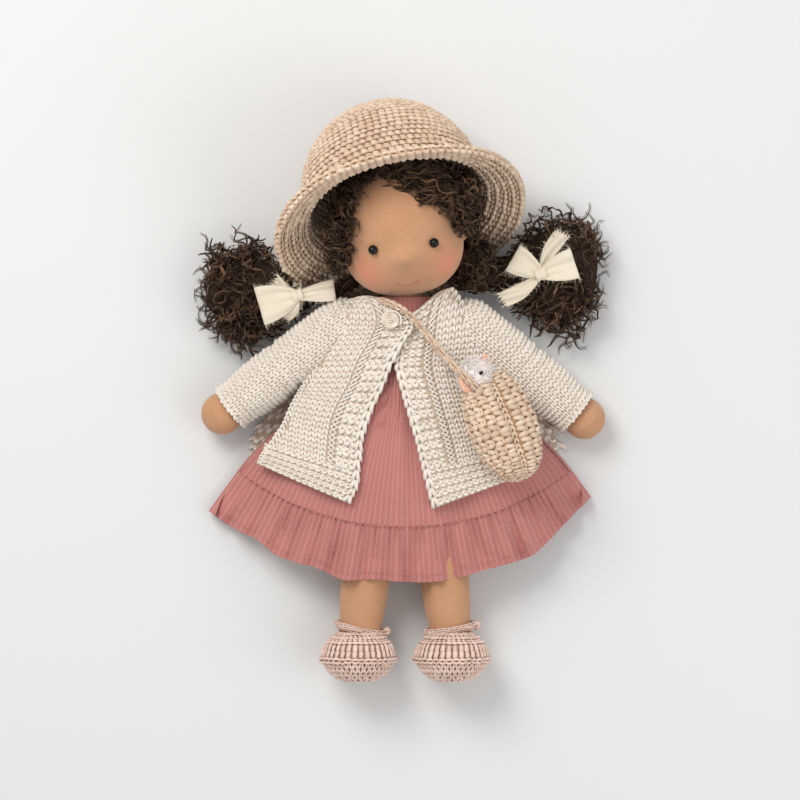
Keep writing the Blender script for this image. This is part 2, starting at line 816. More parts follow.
def settle(piece: Piece, body: str, *nodes: str) -> Piece:
    """A piece rides on a body, and stands for CAD nodes.

    Args:
        piece: the piece.
        body: the body's name.
        nodes: the CAD nodes that it stands for.

    Returns:
        The piece.
    """
    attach(piece, body)
    if nodes:
        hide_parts(*nodes)
    return piece


def node_box(node: str) -> tuple[Array, Array]:
    """The middle and the half sizes of a CAD node's box."""
    low, high = map(np.array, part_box(node))
    return (low + high) / 2, (high - low) / 2


def limb_skin(name: str, body: str, line: Line, rows: int, surface: Surface) -> None:
    """A stuffed limb in jersey whose ribs run along it."""
    finish = Jersey(f"jersey_{body}", "skin", *MATT_SKIN, ribs=tuple(line.across.tolist()))
    skin = mesh_object(name, closed(sheet_mesh(72, rows, surface)), finish)
    settle(skin, body, body)


# Head


@dataclass
class Head:
    """The jersey head with its beads, its sewn mouth and its ears."""

    body: str = "head"
    eye_radius: float = 0.0027
    neck_radius: float = 0.0109
    neck_length: float = 0.021
    mouth: tuple[tuple[float, float], ...] = (
        (-0.0056, -0.0345), (-0.0040, -0.0352), (0.0, -0.0362), (0.0042, -0.0352), (0.0062, -0.0342))

    def build(self) -> None:
        """Make every piece of the head."""
        bm = ball(128, 96, lambda way: head_points(unit(way)), lying=True)
        settle(mesh_object("head_skin", bm, SKIN), self.body, "head")
        for side in Side:
            self.eye(side)
        self.smile()
        for side in Side:
            self.ear(side)
        self.neck()

    def eye(self, side: Side) -> None:
        """A polished bead, sewn into a small dimple."""
        at = head_front(side.value * EYE_X, EYE_Y, self.eye_radius * 0.30)
        bm = ball(32, 20, lambda way: at + way * self.eye_radius)
        settle(mesh_object(f"bead_eye_{side.word}", bm, BEAD), self.body, f"eye_{side.word}")

    def smile(self) -> None:
        """The mouth: one thread that lies on the skin, with a stitch at each end."""
        flat = along_points(self.mouth, np.linspace(0, 1, 25))
        path = [head_front(x, y, 0.0002) for x, y in flat]
        bm = bmesh.new()
        swept(bm, path, [0.00032 + 0.00005 * math.sin(k * 2.1) for k in range(len(path))], 8)
        for end in (path[0], path[-1]):
            at = Matrix.Translation(Vector(end))
            bmesh.ops.create_icosphere(bm, subdivisions=2, radius=0.00068, matrix=at)
        settle(mesh_object("mouth_thread", bm, THREAD), self.body)

    def ear(self, side: Side) -> None:
        """A small jersey ear with its hollow."""
        middle, size = node_box(f"ear_{side.word}")

        def rule(way: Array) -> Array:
            """Where the points of a unit ball go."""
            x, y, z = way.T
            dent = 0.35 * hill((y + 0.1) / 0.45, z / 0.5) * (x * side.value > 0)
            return middle + size * xyz(x * (1 - dent), y, z)

        settle(mesh_object(f"ear_skin_{side.word}", ball(32, 24, rule), SKIN), self.body, f"ear_{side.word}")

    def neck(self) -> None:
        """The neck's jersey, gathered where the head is tied on."""
        line = Line(np.array([0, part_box("neck")[0].y + 0.012, 0.0296]), HEAD_CENTRE)

        def surface(u: Array, v: Array) -> Array:
            """Its points, at shares round or across it and along it."""
            turn = 2 * math.pi * u
            pleats = 1 + 0.03 * np.sin(turn * 14) * smooth_step(v, 0.3, 0.8)
            return line.ring(turn, v * self.neck_length, self.neck_radius * pleats)

        settle(mesh_object("neck_skin", closed(sheet_mesh(84, 14, surface)), SKIN), self.body, "neck")


@dataclass
class Torso:
    """The stuffed body under the clothes."""

    square: float = 0.75

    def build(self) -> None:
        """Make its skin, with the seam down its back."""
        middle, size = node_box("torso")

        def rule(way: Array) -> Array:
            """Where the points of a unit ball go."""
            groove = 1 - 0.03 * hill(way[:, :1] / 0.05) * (way[:, 2:] < 0)
            return middle + size * np.sign(way) * np.abs(way) ** self.square * 0.96 * groove

        bm = ball(64, 48, rule, lying=True)
        settle(mesh_object("body_skin", bm, SKIN), "doll", "torso")


# Limbs

SHOULDER = {side: np.array([side.value * 0.036, 0.033, 0.026]) for side in Side}
ARM_SLOPE = {Side.LEFT: math.radians(36.2), Side.RIGHT: math.radians(38.5)}
HIP = {side: np.array([side.value * 0.0165, -0.05894, 0.022]) for side in Side}
ANKLE = {side: np.array([side.value * 0.0262, -0.14494, 0.0172]) for side in Side}
HAND_RADIUS, ARM_RADIUS, LEG_RADIUS = 0.0118, 0.0100, 0.0138
SLEEVE_LENGTH, SLEEVE_RADIUS, SLEEVE_BALL = 0.077, 0.0152, 0.0153
SLEEVE_SHARES = ((0.00, 1.0), (0.16, 1.00), (0.32, 1.00), (0.50, 0.97), (0.66, 0.98), (0.82, 0.93), (0.93, 0.86),
                 (1.00, 0.88))
LEG_SHARES = ((0.00, 0.96), (0.16, 1.00), (0.40, 1.03), (0.66, 0.98), (0.88, 0.88), (1.00, 0.84))


def hand_of(side: Side) -> Array:
    """The middle of a hand."""
    slope = ARM_SLOPE[side]
    reach = SHOULDER[side] + np.array([side.value * math.cos(slope), -math.sin(slope), 0]) * 0.083
    return np.array([reach[0], reach[1], 0.0135])


@dataclass
class Arm:
    """A stuffed jersey arm with a round hand, and the knitted sleeve on it."""

    side: Side
    columns: int = 27
    rows: int = 31
    wrist: float = 0.35
    cap: float = 0.14

    def __post_init__(self) -> None:
        """Find its line and its body."""
        self.line = Line(SHOULDER[self.side], hand_of(self.side))
        self.body = f"arm_{self.side.word}"

    def build(self) -> None:
        """Make the arm's pieces."""
        limb_skin(f"hand_{self.side.word}", self.body, self.line, 60, self.skin)
        self.seam()
        self.sleeve()

    def skin(self, u: Array, v: Array) -> Array:
        """The arm and the hand in one skin."""
        turn, upper, length = 2 * math.pi * u, v < self.wrist, self.line.length
        tilt = math.acos(-0.80) * (1 - np.clip((v - self.wrist) / (1 - self.wrist), 0, 1))
        along = np.where(upper, length * (0.5 + 0.36 * v / self.wrist), length + HAND_RADIUS * np.cos(tilt))
        radius = np.where(upper, ARM_RADIUS * (0.92 - 0.1 * v / self.wrist), HAND_RADIUS * np.sin(tilt))
        return self.line.ring(turn, along, radius, 1 - 0.06 * np.abs(np.sin(turn)))

    def seam(self) -> None:
        """The small running stitches that shape the hand."""
        bm = bmesh.new()
        for share in np.linspace(0, 1, 9):
            turn = math.radians(58 + 84 * share) + np.array([-0.035, 0.0, 0.035])
            lean = 0.16 + 0.20 * math.sin(math.pi * share)
            out = HAND_RADIUS * math.sqrt(1 - lean**2) * 1.012
            ends = self.line.ring(turn, self.line.length + HAND_RADIUS * lean, out, 0.95)
            swept(bm, ends, (0.00018, 0.00030, 0.00018), 6)
        settle(mesh_object(f"hand_seam_{self.side.word}", bm, SEAM), self.body)

    def surface(self, grow: float) -> Surface:
        """The sleeve's outer surface: round the shoulder, then along the arm.

        Args:
            grow: how far outside it.

        Returns:
            The surface.
        """
        def shape(u: Array, v: Array) -> Array:
            """Its points, at shares round or across it and along it."""
            turn = 2 * math.pi * u
            tilt = math.radians(140) - math.radians(50) * np.clip(v / self.cap, -0.5, 1)
            reach = np.clip((v - self.cap) / (1 - self.cap), 0, 1.05)
            wide = SLEEVE_RADIUS * curve_through(SLEEVE_SHARES, reach)[..., 0]
            top = np.sin(turn)
            wrinkle = 0.00055 * np.sin(reach * 60 + 2 * top)
            wrinkle = wrinkle * smooth_step(reach, 0.25, 0.45) * smooth_step(-reach, -0.78, -0.5)
            fold = 1 - 0.05 * hill((reach - 0.5) / 0.07) * (1 - top) * 0.5
            share = np.clip(reach / 0.2, 0, 1)
            tube = SLEEVE_BALL * (1 - share) + wide * fold * share + wrinkle
            along = np.where(v < self.cap, SLEEVE_BALL * np.cos(tilt), reach * SLEEVE_LENGTH)
            radius = np.where(v < self.cap, SLEEVE_BALL * np.sin(tilt), tube) + grow
            return self.line.ring(math.pi - turn, along, radius)

        return shape

    def sleeve(self) -> None:
        """Stocking stitch in columns down the sleeve, with a chain at the cuff."""
        word, surface = self.side.word, self.surface(-0.0011)
        under = thickened(sheet_mesh(54, 40, self.surface(-0.0016)), 0.0022)
        settle(mesh_object(f"sleeve_under_{word}", under, WOOL_BASE), self.body, f"sleeve_{word}")
        cells = Cells.rows(self.columns, self.rows, 0.0034, v_range=(0.0, 0.985))
        settle(laid(f"sleeve_knit_{word}", knit_vee(), cells, surface, WOOL), self.body)
        edge = Cells.rows(self.columns, 1, 0.0036, v_range=(0.985, 1.02))
        chain = Cells(edge.u, edge.v, edge.du * 1.25, edge.du * 0.99, edge.high)
        settle(laid(f"sleeve_edge_{word}", garter_bump(), chain, surface, WOOL), self.body)


# Camera, floor and lights


def area_light(name: str, at: Sequence[float], size: float, power: float, colour: Colour = (1, 1, 1)) -> None:
    """A soft light that looks at the doll.

    Args:
        name: the light's name.
        at: where it hangs.
        size: its side.
        power: its power in watts.
        colour: its colour.
    """
    light = bpy.data.lights.new(name, "AREA")
    light.energy = power
    light.size = size
    light.color = colour
    made = bpy.data.objects.new(name, light)
    made.location = at
    made.rotation_euler = (Vector((0, 0, 0.03)) - Vector(at)).to_track_quat("-Z", "Y").to_euler()
    bpy.context.scene.collection.objects.link(made)


@dataclass
class Studio:
    """A plain pale floor, soft light and a camera that looks straight down, as the photograph does."""

    aim: tuple[float, float] = (-0.0028, -0.0084)
    distance: float = 3.0
    width: float = 0.448

    def build(self) -> None:
        """Make the floor, the lights, the world and the camera."""
        bm = bmesh.new()
        bmesh.ops.create_grid(bm, x_segments=2, y_segments=2, size=3)
        bmesh.ops.translate(bm, verts=bm.verts, vec=(0, 0, -0.0004))
        mesh = bpy.data.meshes.new("floor")
        bm.to_mesh(mesh)
        bm.free()
        material = bpy.data.materials.new("floor")
        material.use_nodes = True
        surface = material.node_tree.nodes["Principled BSDF"]
        surface.inputs["Base Color"].default_value = (0.71, 0.715, 0.72, 1)
        surface.inputs["Roughness"].default_value = 0.9
        mesh.materials.append(material)
        floor = bpy.data.objects.new("floor", mesh)
        bpy.context.scene.collection.objects.link(floor)
        world = bpy.data.worlds.new("studio")
        world.use_nodes = True
        world.node_tree.nodes["Background"].inputs["Color"].default_value = (1, 0.99, 0.97, 1)
        world.node_tree.nodes["Background"].inputs["Strength"].default_value = 0.62
        bpy.context.scene.world = world
        area_light("key", (-0.55, 0.75, 1.15), 0.7, 13, (1, 0.98, 0.95))
        area_light("fill", (0.9, -0.4, 0.9), 1.0, 5)
        camera = bpy.data.cameras.new("camera")
        camera.sensor_width = 36
        camera.lens = 36 * self.distance / self.width
        camera.clip_start = 0.01
        made = bpy.data.objects.new("camera", camera)
        made.location = (*self.aim, 0.03 + self.distance)
        bpy.context.scene.collection.objects.link(made)
        bpy.context.scene.camera = made
        bpy.context.scene.view_settings.view_transform = "Standard"


# Bag strap


STRAP_ROUTE = (
    (0.0425, -0.0045, 0.0700), (0.0340, 0.0035, 0.0702), (0.0250, 0.0125, 0.0660), (0.0150, 0.0240, 0.0608),
    (0.0060, 0.0350, 0.0604), (-0.0020, 0.0420, 0.0600), (-0.0110, 0.0462, 0.0550), (-0.0165, 0.0464, 0.0430),
    (-0.0160, 0.0455, 0.0300), (-0.0115, 0.0455, 0.0180), (0.0000, 0.0455, 0.0135), (0.0115, 0.0455, 0.0180),
    (0.0156, 0.0450, 0.0290),
)


@dataclass
class Strap:
    """The bag's strap: a chain of raffia stitches that runs round the neck."""

    radius: float = 0.0017
    pitch: float = 0.0043
    steps: int = 320

    def build(self) -> None:
        path = along_points(STRAP_ROUTE, np.linspace(0, 1, self.steps))
        lengths = np.concatenate([[0], np.cumsum(np.linalg.norm(np.diff(path, axis=0), axis=1))])
        whole = float(lengths[-1])

        def surface(u: Array, v: Array) -> Array:
            """Its points, at shares round or across it and along it."""
            at = np.clip(v, 0, 1) * (self.steps - 1)
            low = np.minimum(at.astype(int), self.steps - 2)
            share = (at - low)[..., None]
            middle = path[low] * (1 - share) + path[low + 1] * share
            way = unit(path[low + 1] - path[low])
            side = unit(np.cross(way, [0.0, 0.0, 1.0]) + np.array([1e-6, 0, 0]))
            up = np.cross(side, way)
            turn = (2 * math.pi * u)[..., None]
            core = self.radius * 0.40
            return middle + (up * np.sin(turn) - side * np.cos(turn)) * core

        count = round(whole / self.pitch)
        cells = Cells.rows(4, count, 0.0026, shift=0.5)
        chain = laid("strap_chain", chain_stitch(), cells, surface, STRAW, 0.05)
        under = strands("strap_core", path[None, ::4], self.radius * 0.42, STRAW_BASE)
        for piece in (chain, under):
            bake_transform(piece)
        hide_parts("bag_strap")


def chain_stitch() -> Stitch:
    """A chain's link: one fat straw loop."""
    left = [(-0.05, -0.62, -0.1), (-0.30, -0.25, 0.35), (-0.26, 0.20, 0.42), (0.0, 0.60, 0.05)]
    right = [(0.05, -0.62, -0.1), (0.30, -0.25, 0.35), (0.26, 0.20, 0.42), (0.0, 0.60, 0.05)]
    return yarn_stitch((left, (0.10, 0.20, 0.20, 0.10)), (right, (0.10, 0.20, 0.20, 0.10)))


# Legs and shoes

SHOE_MIDDLE = {side: np.array([side.value * 0.0262, -0.15184, 0.0236]) for side in Side}
SHOE_SIZE = (0.0205, 0.0150, 0.0230)
STRAP_AT = 0.905


@dataclass
class Leg:
    """A stuffed jersey leg in a crocheted shoe with an ankle strap."""

    side: Side
    columns: int = 36
    knot_radius: float = 0.0019

    def __post_init__(self) -> None:
        """Find its line and its body."""
        self.line = Line(HIP[self.side], ANKLE[self.side])
        self.body = f"leg_{self.side.word}"

    def build(self) -> None:
        """Make the leg's pieces."""
        limb_skin(f"leg_skin_{self.side.word}", self.body, self.line, 56, self.skin)
        self.shoe()
        self.strap()

    def skin(self, u: Array, v: Array) -> Array:
        """The leg's jersey, with a crease at the ankle."""
        turn = 2 * math.pi * u
        reach = np.clip((v - 0.2) / 0.8, 0, 1) * 1.03
        tilt = math.pi - math.pi / 2 * np.clip(v / 0.2, 0, 1)
        wide = LEG_RADIUS * curve_through(LEG_SHARES, reach)[..., 0]
        dent = 0.0006 * hill((reach - 0.86) / 0.03) * (0.6 + 0.4 * np.sin(turn))
        along = np.where(v < 0.2, LEG_RADIUS * np.cos(tilt), reach * self.line.length)
        return self.line.ring(turn, along, np.where(v < 0.2, LEG_RADIUS * 0.96 * np.sin(tilt), wide - dent))

    def upper(self, grow: float = 0.0) -> Surface:
        """The shoe's outer surface, from its throat to its sole.

        Args:
            grow: how far outside it.

        Returns:
            The surface.
        """
        middle = SHOE_MIDDLE[self.side]
        wide, high, long = (size + grow for size in SHOE_SIZE)

        def shape(u: Array, v: Array) -> Array:
            """Its points, at shares round or across it and along it."""
            turn, tilt = 2 * math.pi * u, math.pi * v
            around, swell = np.cos(tilt), np.maximum(np.sin(tilt), 0) ** 0.8
            lip = 0.0013 * hill((around + 0.12) / 0.12)
            x = (wide * swell + lip) * np.cos(turn)
            z = (long * swell + 0.4 * lip) * np.sin(turn)
            return middle + xyz(x, high * around, np.maximum(z, -middle[2] + 0.0004))

        return shape

    def shoe(self) -> None:
        """The upper in crochet ribs, the chain along the sole's ridge and the rounds of the sole."""
        word, count = self.side.word, self.columns
        base = sheet_mesh(60, 36, self.upper(-0.0012))
        settle(mesh_object(f"shoe_under_{word}", base, SHOE_BASE), self.body, f"shoe_{word}")
        sole = [Cells.rows(count, 3, 0.0020, v_range=(0.585, 0.78), shift=0.5),
                Cells.rows(count // 2, 2, 0.0020, v_range=(0.78, 0.93), shift=0.5)]
        rows = (
            ("upper", crochet_stitch(), Cells.rows(count, 2, 0.0019, v_range=(0.20, 0.34)), -0.0008),
            ("ribs", post_stitch(), Cells.rows(count, 2, 0.0018, v_range=(0.35, 0.51)), -0.0008),
            ("sole", knit_vee(), Cells.joined(sole), -0.0008),
            ("ridge", chain_across(), Cells.rows(count, 1, 0.0022, v_range=(0.515, 0.575)), -0.0002),
            ("brim", chain_across(), Cells.rows(count - 6, 1, 0.0021, v_range=(0.155, 0.20)), -0.0008),
        )
        for name, stitch, cells, grow in rows:
            settle(laid(f"shoe_{name}_{word}", stitch, cells, self.upper(grow), SHOE), self.body)

    def strap(self) -> None:
        """The ankle strap: two chains round the leg, and its knot."""
        line, word = self.line, self.side.word
        around = LEG_RADIUS * 0.84 + 0.0021
        lean = -0.10 if self.side is Side.LEFT else 0.05

        def surface(u: Array, v: Array) -> Array:
            """Its points, at shares round or across it and along it."""
            turn, corner = 2 * math.pi * u, 2 * math.pi * v
            along = line.length * STRAP_AT + 0.0014 * np.cos(corner) + lean * around * np.cos(turn)
            return line.ring(turn, along, around + 0.0008 * np.sin(corner))

        cells = Cells.rows(26, 4, 0.0012, shift=0.5)
        band = laid(f"shoe_strap_chain_{word}", chain_across(), cells, surface, SHOE)
        settle(band, self.body, f"shoe_strap_{word}")
        bm = bmesh.new()
        at = line.start + line.way * line.length * STRAP_AT - line.across * (around + 0.0012)
        random = np.random.default_rng(SEED)
        for k in range(5):
            turn = np.linspace(0, 2 * math.pi, 9) + k
            tilt = np.array(Matrix.Rotation(random.uniform(0, 3), 3, random.normal(size=3)))
            size = self.knot_radius
            flat = xyz(size * np.cos(turn), size * np.sin(turn), 0.0006 * np.sin(2 * turn))
            swept(bm, at + flat @ tilt.T, [0.0009] * len(turn), 6)
        settle(mesh_object(f"shoe_knot_{word}", bm, SHOE), self.body)


def post_stitch() -> Stitch:
    """A tall crochet post that stands out as a rib."""
    post = [(0.0, -0.60, -0.25), (-0.04, -0.25, 0.38), (0.04, 0.25, 0.42), (0.0, 0.60, -0.20)]
    twist = [(-0.30, -0.35, -0.20), (0.0, 0.0, 0.16), (0.30, 0.35, -0.20)]
    return yarn_stitch((post, (0.20, 0.38, 0.38, 0.20)), (twist, (0.12, 0.24, 0.12)))


def chain_across() -> Stitch:
    """A chain's link that lies across its cell."""
    low = [(-0.62, -0.05, -0.1), (-0.25, -0.34, 0.3), (0.20, -0.30, 0.34), (0.60, 0.0, 0.0)]
    high = [(-0.62, 0.05, -0.1), (-0.25, 0.34, 0.3), (0.20, 0.30, 0.34), (0.60, 0.0, 0.0)]
    return yarn_stitch((low, (0.10, 0.22, 0.22, 0.10)), (high, (0.10, 0.22, 0.22, 0.10)))


# Dress

DRAPE_SHARES = (
    (0.00, 0.33, 0.93, 0.45), (0.14, 0.40, 0.98, 0.50), (0.30, 0.52, 1.00, 0.58),
    (0.58, 0.76, 0.93, 0.76), (0.74, 0.90, 0.86, 0.90), (1.00, 1.00, 0.77, 1.00),
)
DRAPE_TOP, DRAPE_LENGTH, DRAPE_WIDTH, DRAPE_HEIGHT, DRAPE_BASE = 0.047, 0.158, 0.126, 0.047, 0.0058
FAN_TOP, FAN_START, FAN_SEAM, SKIRT_FROM = 0.080, 0.078, 0.159, 0.060
FAN_NARROW, FAN_WIDE = math.radians(26.5), math.radians(36.2)
HEM_AT = ((-36.5, 0.1873), (-30.2, 0.1875), (-25.8, 0.1856), (-23.2, 0.1904), (-14.2, 0.1884), (-11.6, 0.1924),
          (-8.8, 0.1918), (-6.2, 0.1890), (5.0, 0.1908), (9.0, 0.1900), (14.2, 0.1885), (22.2, 0.1900),
          (27.0, 0.1845), (31.4, 0.1800), (36.5, 0.1775))
PLEATS_AT = (-31.0, -24.2, -12.8, -7.5, 3.0, 9.0, 14.2, 22.4, 28.0, 32.5)


def drape(x: Array, y: Array) -> Array:
    """The height of the clothes over the body."""
    rows = curve_through(DRAPE_SHARES, (DRAPE_TOP - y) / DRAPE_LENGTH)
    share = np.maximum(1 - (x / (rows[..., 0] * DRAPE_WIDTH)) ** 2, 0)
    return DRAPE_BASE + rows[..., 1] * DRAPE_HEIGHT * share ** rows[..., 2]


def over_drape(x: Array, y: Array, height: Array | float) -> Array:
    """Points at a height over the drape, measured square to it.

    Args:
        x: places across.
        y: places along.
        height: the height.

    Returns:
        The points.
    """
    step = KNIT / 4
    slope_x = (drape(x + step, y) - drape(x - step, y)) / (2 * step)
    slope_y = (drape(x, y + step) - drape(x, y - step)) / (2 * step)
    normal = unit(xyz(-slope_x, -slope_y, 1.0))
    normal[..., 0] = np.clip(normal[..., 0], -0.8, 0.8)
    return xyz(x, y, drape(x, y)) + normal * np.asarray(height, float)[..., None]


def fan_angle(radius: Array) -> Array:
    """The fan's half angle at distances from its top."""
    part = np.clip((radius - FAN_START) / (FAN_SEAM - FAN_START), 0, 1)
    return FAN_NARROW + (FAN_WIDE - FAN_NARROW) * np.sin(part * math.pi / 2)


def softened(rule: Callable[[Array], Array], degrees: Array, step: float) -> Array:
    """A rule's mean over seven angles, a step apart."""
    return sum(rule(degrees + off * step) for off in range(-3, 4)) / 7


def hem_line(degrees: Array) -> Array:
    """The hem's distance from the fan's top, at angles from its middle."""
    return softened(lambda at: np.interp(at, *zip(*HEM_AT, strict=True)), degrees, 0.6)


def pleat(degrees: Array) -> Array:
    """The ruffle's pleats: each rises slowly to its edge and drops at once.

    Args:
        degrees: angles from the middle of the fan.

    Returns:
        Depths from 0, on a pleat's edge, to 1.
    """
    edges = np.array((-38.0, *PLEATS_AT, 38.0))
    i = np.clip(np.searchsorted(edges, degrees) - 1, 0, len(edges) - 2)
    share = np.clip((degrees - edges[i]) / (edges[i + 1] - edges[i]), 0, 1)
    ramp = np.where(degrees < -2, share, 1 - share)
    return 1 - smooth_step(ramp, 0.0, 0.40) * (0.45 + 0.55 * smooth_step(ramp, 0.1, 1.0))


def waves(degrees: Array, pitch: float, bend: float, slow: float, start: float = 0.0) -> Array:
    """Folds from 0 to 1 whose spacing changes slowly."""
    return 0.5 * (1 + np.sin(degrees * pitch + start + bend * np.sin(degrees * slow)))


def skirt_fold(degrees: Array, share: Array) -> Array:
    """The skirt's folds: broad ones that deepen down it, and fine gathers at its top."""
    broad = 0.0030 * (0.2 + 0.8 * share) * waves(degrees, 0.62, 1.2, 0.17)
    fine = 0.0012 * (1 - smooth_step(share, 0.1, 0.9)) * waves(degrees, 5.1, 2, 0.8)
    return broad + fine + 0.0007 * smooth_step(share, 0.75, 1.0) * waves(degrees, 6.3, 2, 0.5)


def ruffle_fold(degrees: Array, share: Array) -> Array:
    """The ruffle's pleats, which deepen to the hem, and the gathers that fade away from the seam."""
    start = 0.0024 * (1 - share) * waves(degrees, 0.62, 1.2, 0.17)
    turned = degrees + 1.6 * share * np.sin(degrees * 0.35)
    pleats = 0.0058 * smooth_step(share, 0.02, 0.70) * softened(pleat, turned, 0.3)
    gathers = 0.0018 * (1 - smooth_step(share, 0.10, 0.95)) * waves(degrees, 5.2, 2, 0.5)
    return start + pleats + gathers + 0.0052 * share * waves(degrees, 1.55, 0.8, 0.31, 1.0)


@dataclass
class Dress:
    """The dress: a fan of gathered cotton over the legs, and its ruffle."""

    columns: int = 400
    cotton: float = 0.0009
    skirt_stripes: int = 64
    ruffle_stripes: int = 74
    stripe_pitch: float = 0.0027
    bodice_length: float = 0.057

    def build(self) -> None:
        """Make the skirt and the ruffle, each in two halves, their stitches and the bodice."""
        self.tube("dress_skirt", SKIRT_FROM, FAN_SEAM, 56, skirt_fold, self.skirt_stripes)
        self.tube("dress_ruffle", FAN_SEAM - 0.0004, 0.0, 40, ruffle_fold, self.ruffle_stripes)
        self.sewn("ruffle_gather", np.linspace(0.004, 0.496, 150), 0.0012, (0.012, 0.03, 0.055), 0.00042)
        self.sewn("hem_stitches", np.linspace(0.01, 0.49, 130), 0.0011, (0.885, 0.885, 0.885), 0.00024)
        self.bodice()

    def fan(self, start: float, end: float, fold: Callable[[Array, Array], Array], deep: float = 0.0) -> Surface:
        """A tube of the dress between two distances from the fan's top: over the body, and under it.

        Args:
            start: the distance at its top.
            end: the distance at its edge, or 0 for the hem's own line.
            fold: how deep the cloth lies in its folds.
            deep: how far inside the tube.

        Returns:
            The surface.
        """
        def shape(u: Array, v: Array) -> Array:
            """Its points, at shares round or across it and along it."""
            turn = 2 * math.pi * u
            spread = np.cos(turn)
            around = spread * fan_angle(start + ((end or 0.188) - start) * v)
            degrees = np.degrees(around)
            edge = np.full(u.shape, end) if end else hem_line(degrees)
            radius = start + (edge - start) * v
            x, y = radius * np.sin(around), FAN_TOP - radius * np.cos(around)
            floor = KNIT * smooth_step(y, -0.0588 - 7 * KNIT, -0.0588 - 4 * KNIT) + GAP + deep
            top = drape(x, y) - 2 * GAP - deep - fold(degrees, v)
            rise = np.maximum(1 - np.abs(spread) ** 6, 0) ** 0.5
            low = 0.0008 * (1 + np.sin(degrees * 1.3)) * smooth_step(v, 0.3, 1.0)
            return xyz(x, y, floor + np.where(np.sin(turn) > 0, np.maximum(top - floor, CLOTH), low) * rise)

        return shape

    def tube(self, name: str, start: float, end: float, rows: int, fold: Callable[[Array, Array], Array],
             stripes: int) -> None:
        """A tube of striped cloth in two halves, each blended to its own leg.

        Args:
            name: the name of the pieces and of their CAD node.
            start: the distance from the fan's top at its upper edge.
            end: the distance at its lower edge.
            rows: faces along it.
            fold: its folds.
            stripes: how many stripes it has.
        """
        surface = self.fan(start, end, fold, 0.0005)
        for side, first in ((Side.LEFT, 0.25), (Side.RIGHT, -0.25)):
            bm = sheet_mesh(self.columns // 2, rows, lambda u, v, at=first: surface(at + 0.5 * u, v), weld=False)
            bmesh.ops.recalc_face_normals(bm, faces=bm.faces)
            piece = mesh_object(f"{name}_{side.word}", thickened(bm, self.cotton), DRESS)
            x, y, _ = points_of(piece.data).T
            share = np.arctan2(x, FAN_TOP - y) / fan_angle(np.hypot(x, FAN_TOP - y))
            numbered(piece.data, "count", (share + 1) / 2 * stripes + 0.1)
            self.follow(piece)
            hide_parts(name)

    def sewn(self, name: str, starts: Array, step: float, down: Sequence[float], width: float) -> None:
        """Small stitches on the ruffle, blended to the legs as its cloth is.

        Args:
            name: the pieces' name.
            starts: the stitches' places round the dress.
            step: how far each goes round.
            down: the shares down the ruffle of a stitch's three points.
            width: the thread's radius.
        """
        surface = self.fan(FAN_SEAM - 0.0004, 0.0, ruffle_fold)
        for side in Side:
            bm = bmesh.new()
            for u in starts[(starts < 0.25) == (side is Side.RIGHT)]:
                ends = surface(u + np.array([0.0, 0.5, 1.0]) * step, np.array(down))
                ends[:, 2] += np.array([0.0003, 0.0006, 0.0002])
                swept(bm, ends, (width * 0.6, width, width * 0.5), 5)
            self.follow(mesh_object(f"{name}_{side.word}", bm, DRESS))

    def follow(self, piece: Piece) -> None:
        """Cloth that hangs between the body and a leg."""
        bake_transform(piece)

    def bodice(self) -> None:
        """The bodice round the body, gathered at its waist."""
        shares = ((0.0, 0.50, 0.86), (0.06, 0.82, 0.90), (0.16, 1.0, 0.94), (0.32, 0.99, 1.0), (0.60, 0.92, 1.0),
                  (0.84, 0.93, 0.95))

        def surface(u: Array, v: Array) -> Array:
            """Its points, at shares round or across it and along it."""
            turn = 2 * math.pi * u
            rows = curve_through(shares, 0.03 + v * 0.50)
            pleats = 1 + 0.02 * np.sin(turn * 22) * smooth_step(v, 0.6, 1.0)
            x = (0.031 * rows[..., 0] + 0.0014) * np.cos(turn) * pleats
            z = (0.020 * rows[..., 1] + 0.0014) * np.sin(turn) * pleats
            return xyz(x, 0.0490 - v * self.bodice_length, 0.0266 + z)

        piece = mesh_object("bodice_cloth", thickened(sheet_mesh(120, 30, surface), self.cotton), DRESS)
        numbered(piece.data, "count", points_of(piece.data)[:, 0] / self.stripe_pitch + 40.5)
        settle(piece, "doll", "dress_bodice")


# Cardigan

CARDIGAN_TOP, CARDIGAN_LENGTH, CARDIGAN_WIDTH = 0.042, 0.112, 0.0845
FRONT_EDGES = {
    Side.LEFT: (
        ((-0.02, 0.020), (0.040, 0.075), (0.012, 0.130), (-0.075, 0.245), (-0.140, 0.370),
         (-0.217, 0.495), (-0.272, 0.620), (-0.293, 0.745), (-0.315, 0.870), (-0.370, 0.960)),
        ((-0.350, -0.025), (-0.400, 0.035), (-0.470, 0.150), (-0.560, 0.260), (-0.655, 0.375),
         (-0.715, 0.450), (-0.780, 0.550), (-0.850, 0.640), (-0.930, 0.720), (-0.965, 0.775)),
    ),
    Side.RIGHT: (
        ((0.040, 0.020), (-0.010, 0.110), (-0.035, 0.200), (-0.050, 0.290), (-0.010, 0.410),
         (0.030, 0.520), (0.075, 0.640), (0.110, 0.745), (0.145, 0.860), (0.190, 0.985)),
        ((0.290, -0.050), (0.385, 0.010), (0.470, 0.150), (0.560, 0.270), (0.650, 0.385),
         (0.700, 0.470), (0.750, 0.560), (0.790, 0.650), (0.830, 0.730), (0.860, 0.800)),
    ),
}
BACK_SHARES = ((0.40, 0.00), (0.48, 0.10), (0.60, 0.25), (0.80, 0.42), (1.00, 0.62), (1.00, 0.74), (0.90, 0.86),
               (0.84, 0.90))
BAND, LACE, COLUMN, ROW, RIDGE, NECK_RISE = 0.0132, 0.0056, 0.0036, 0.0029, 0.0058, 0.0068
HEM_FROM = 0.83


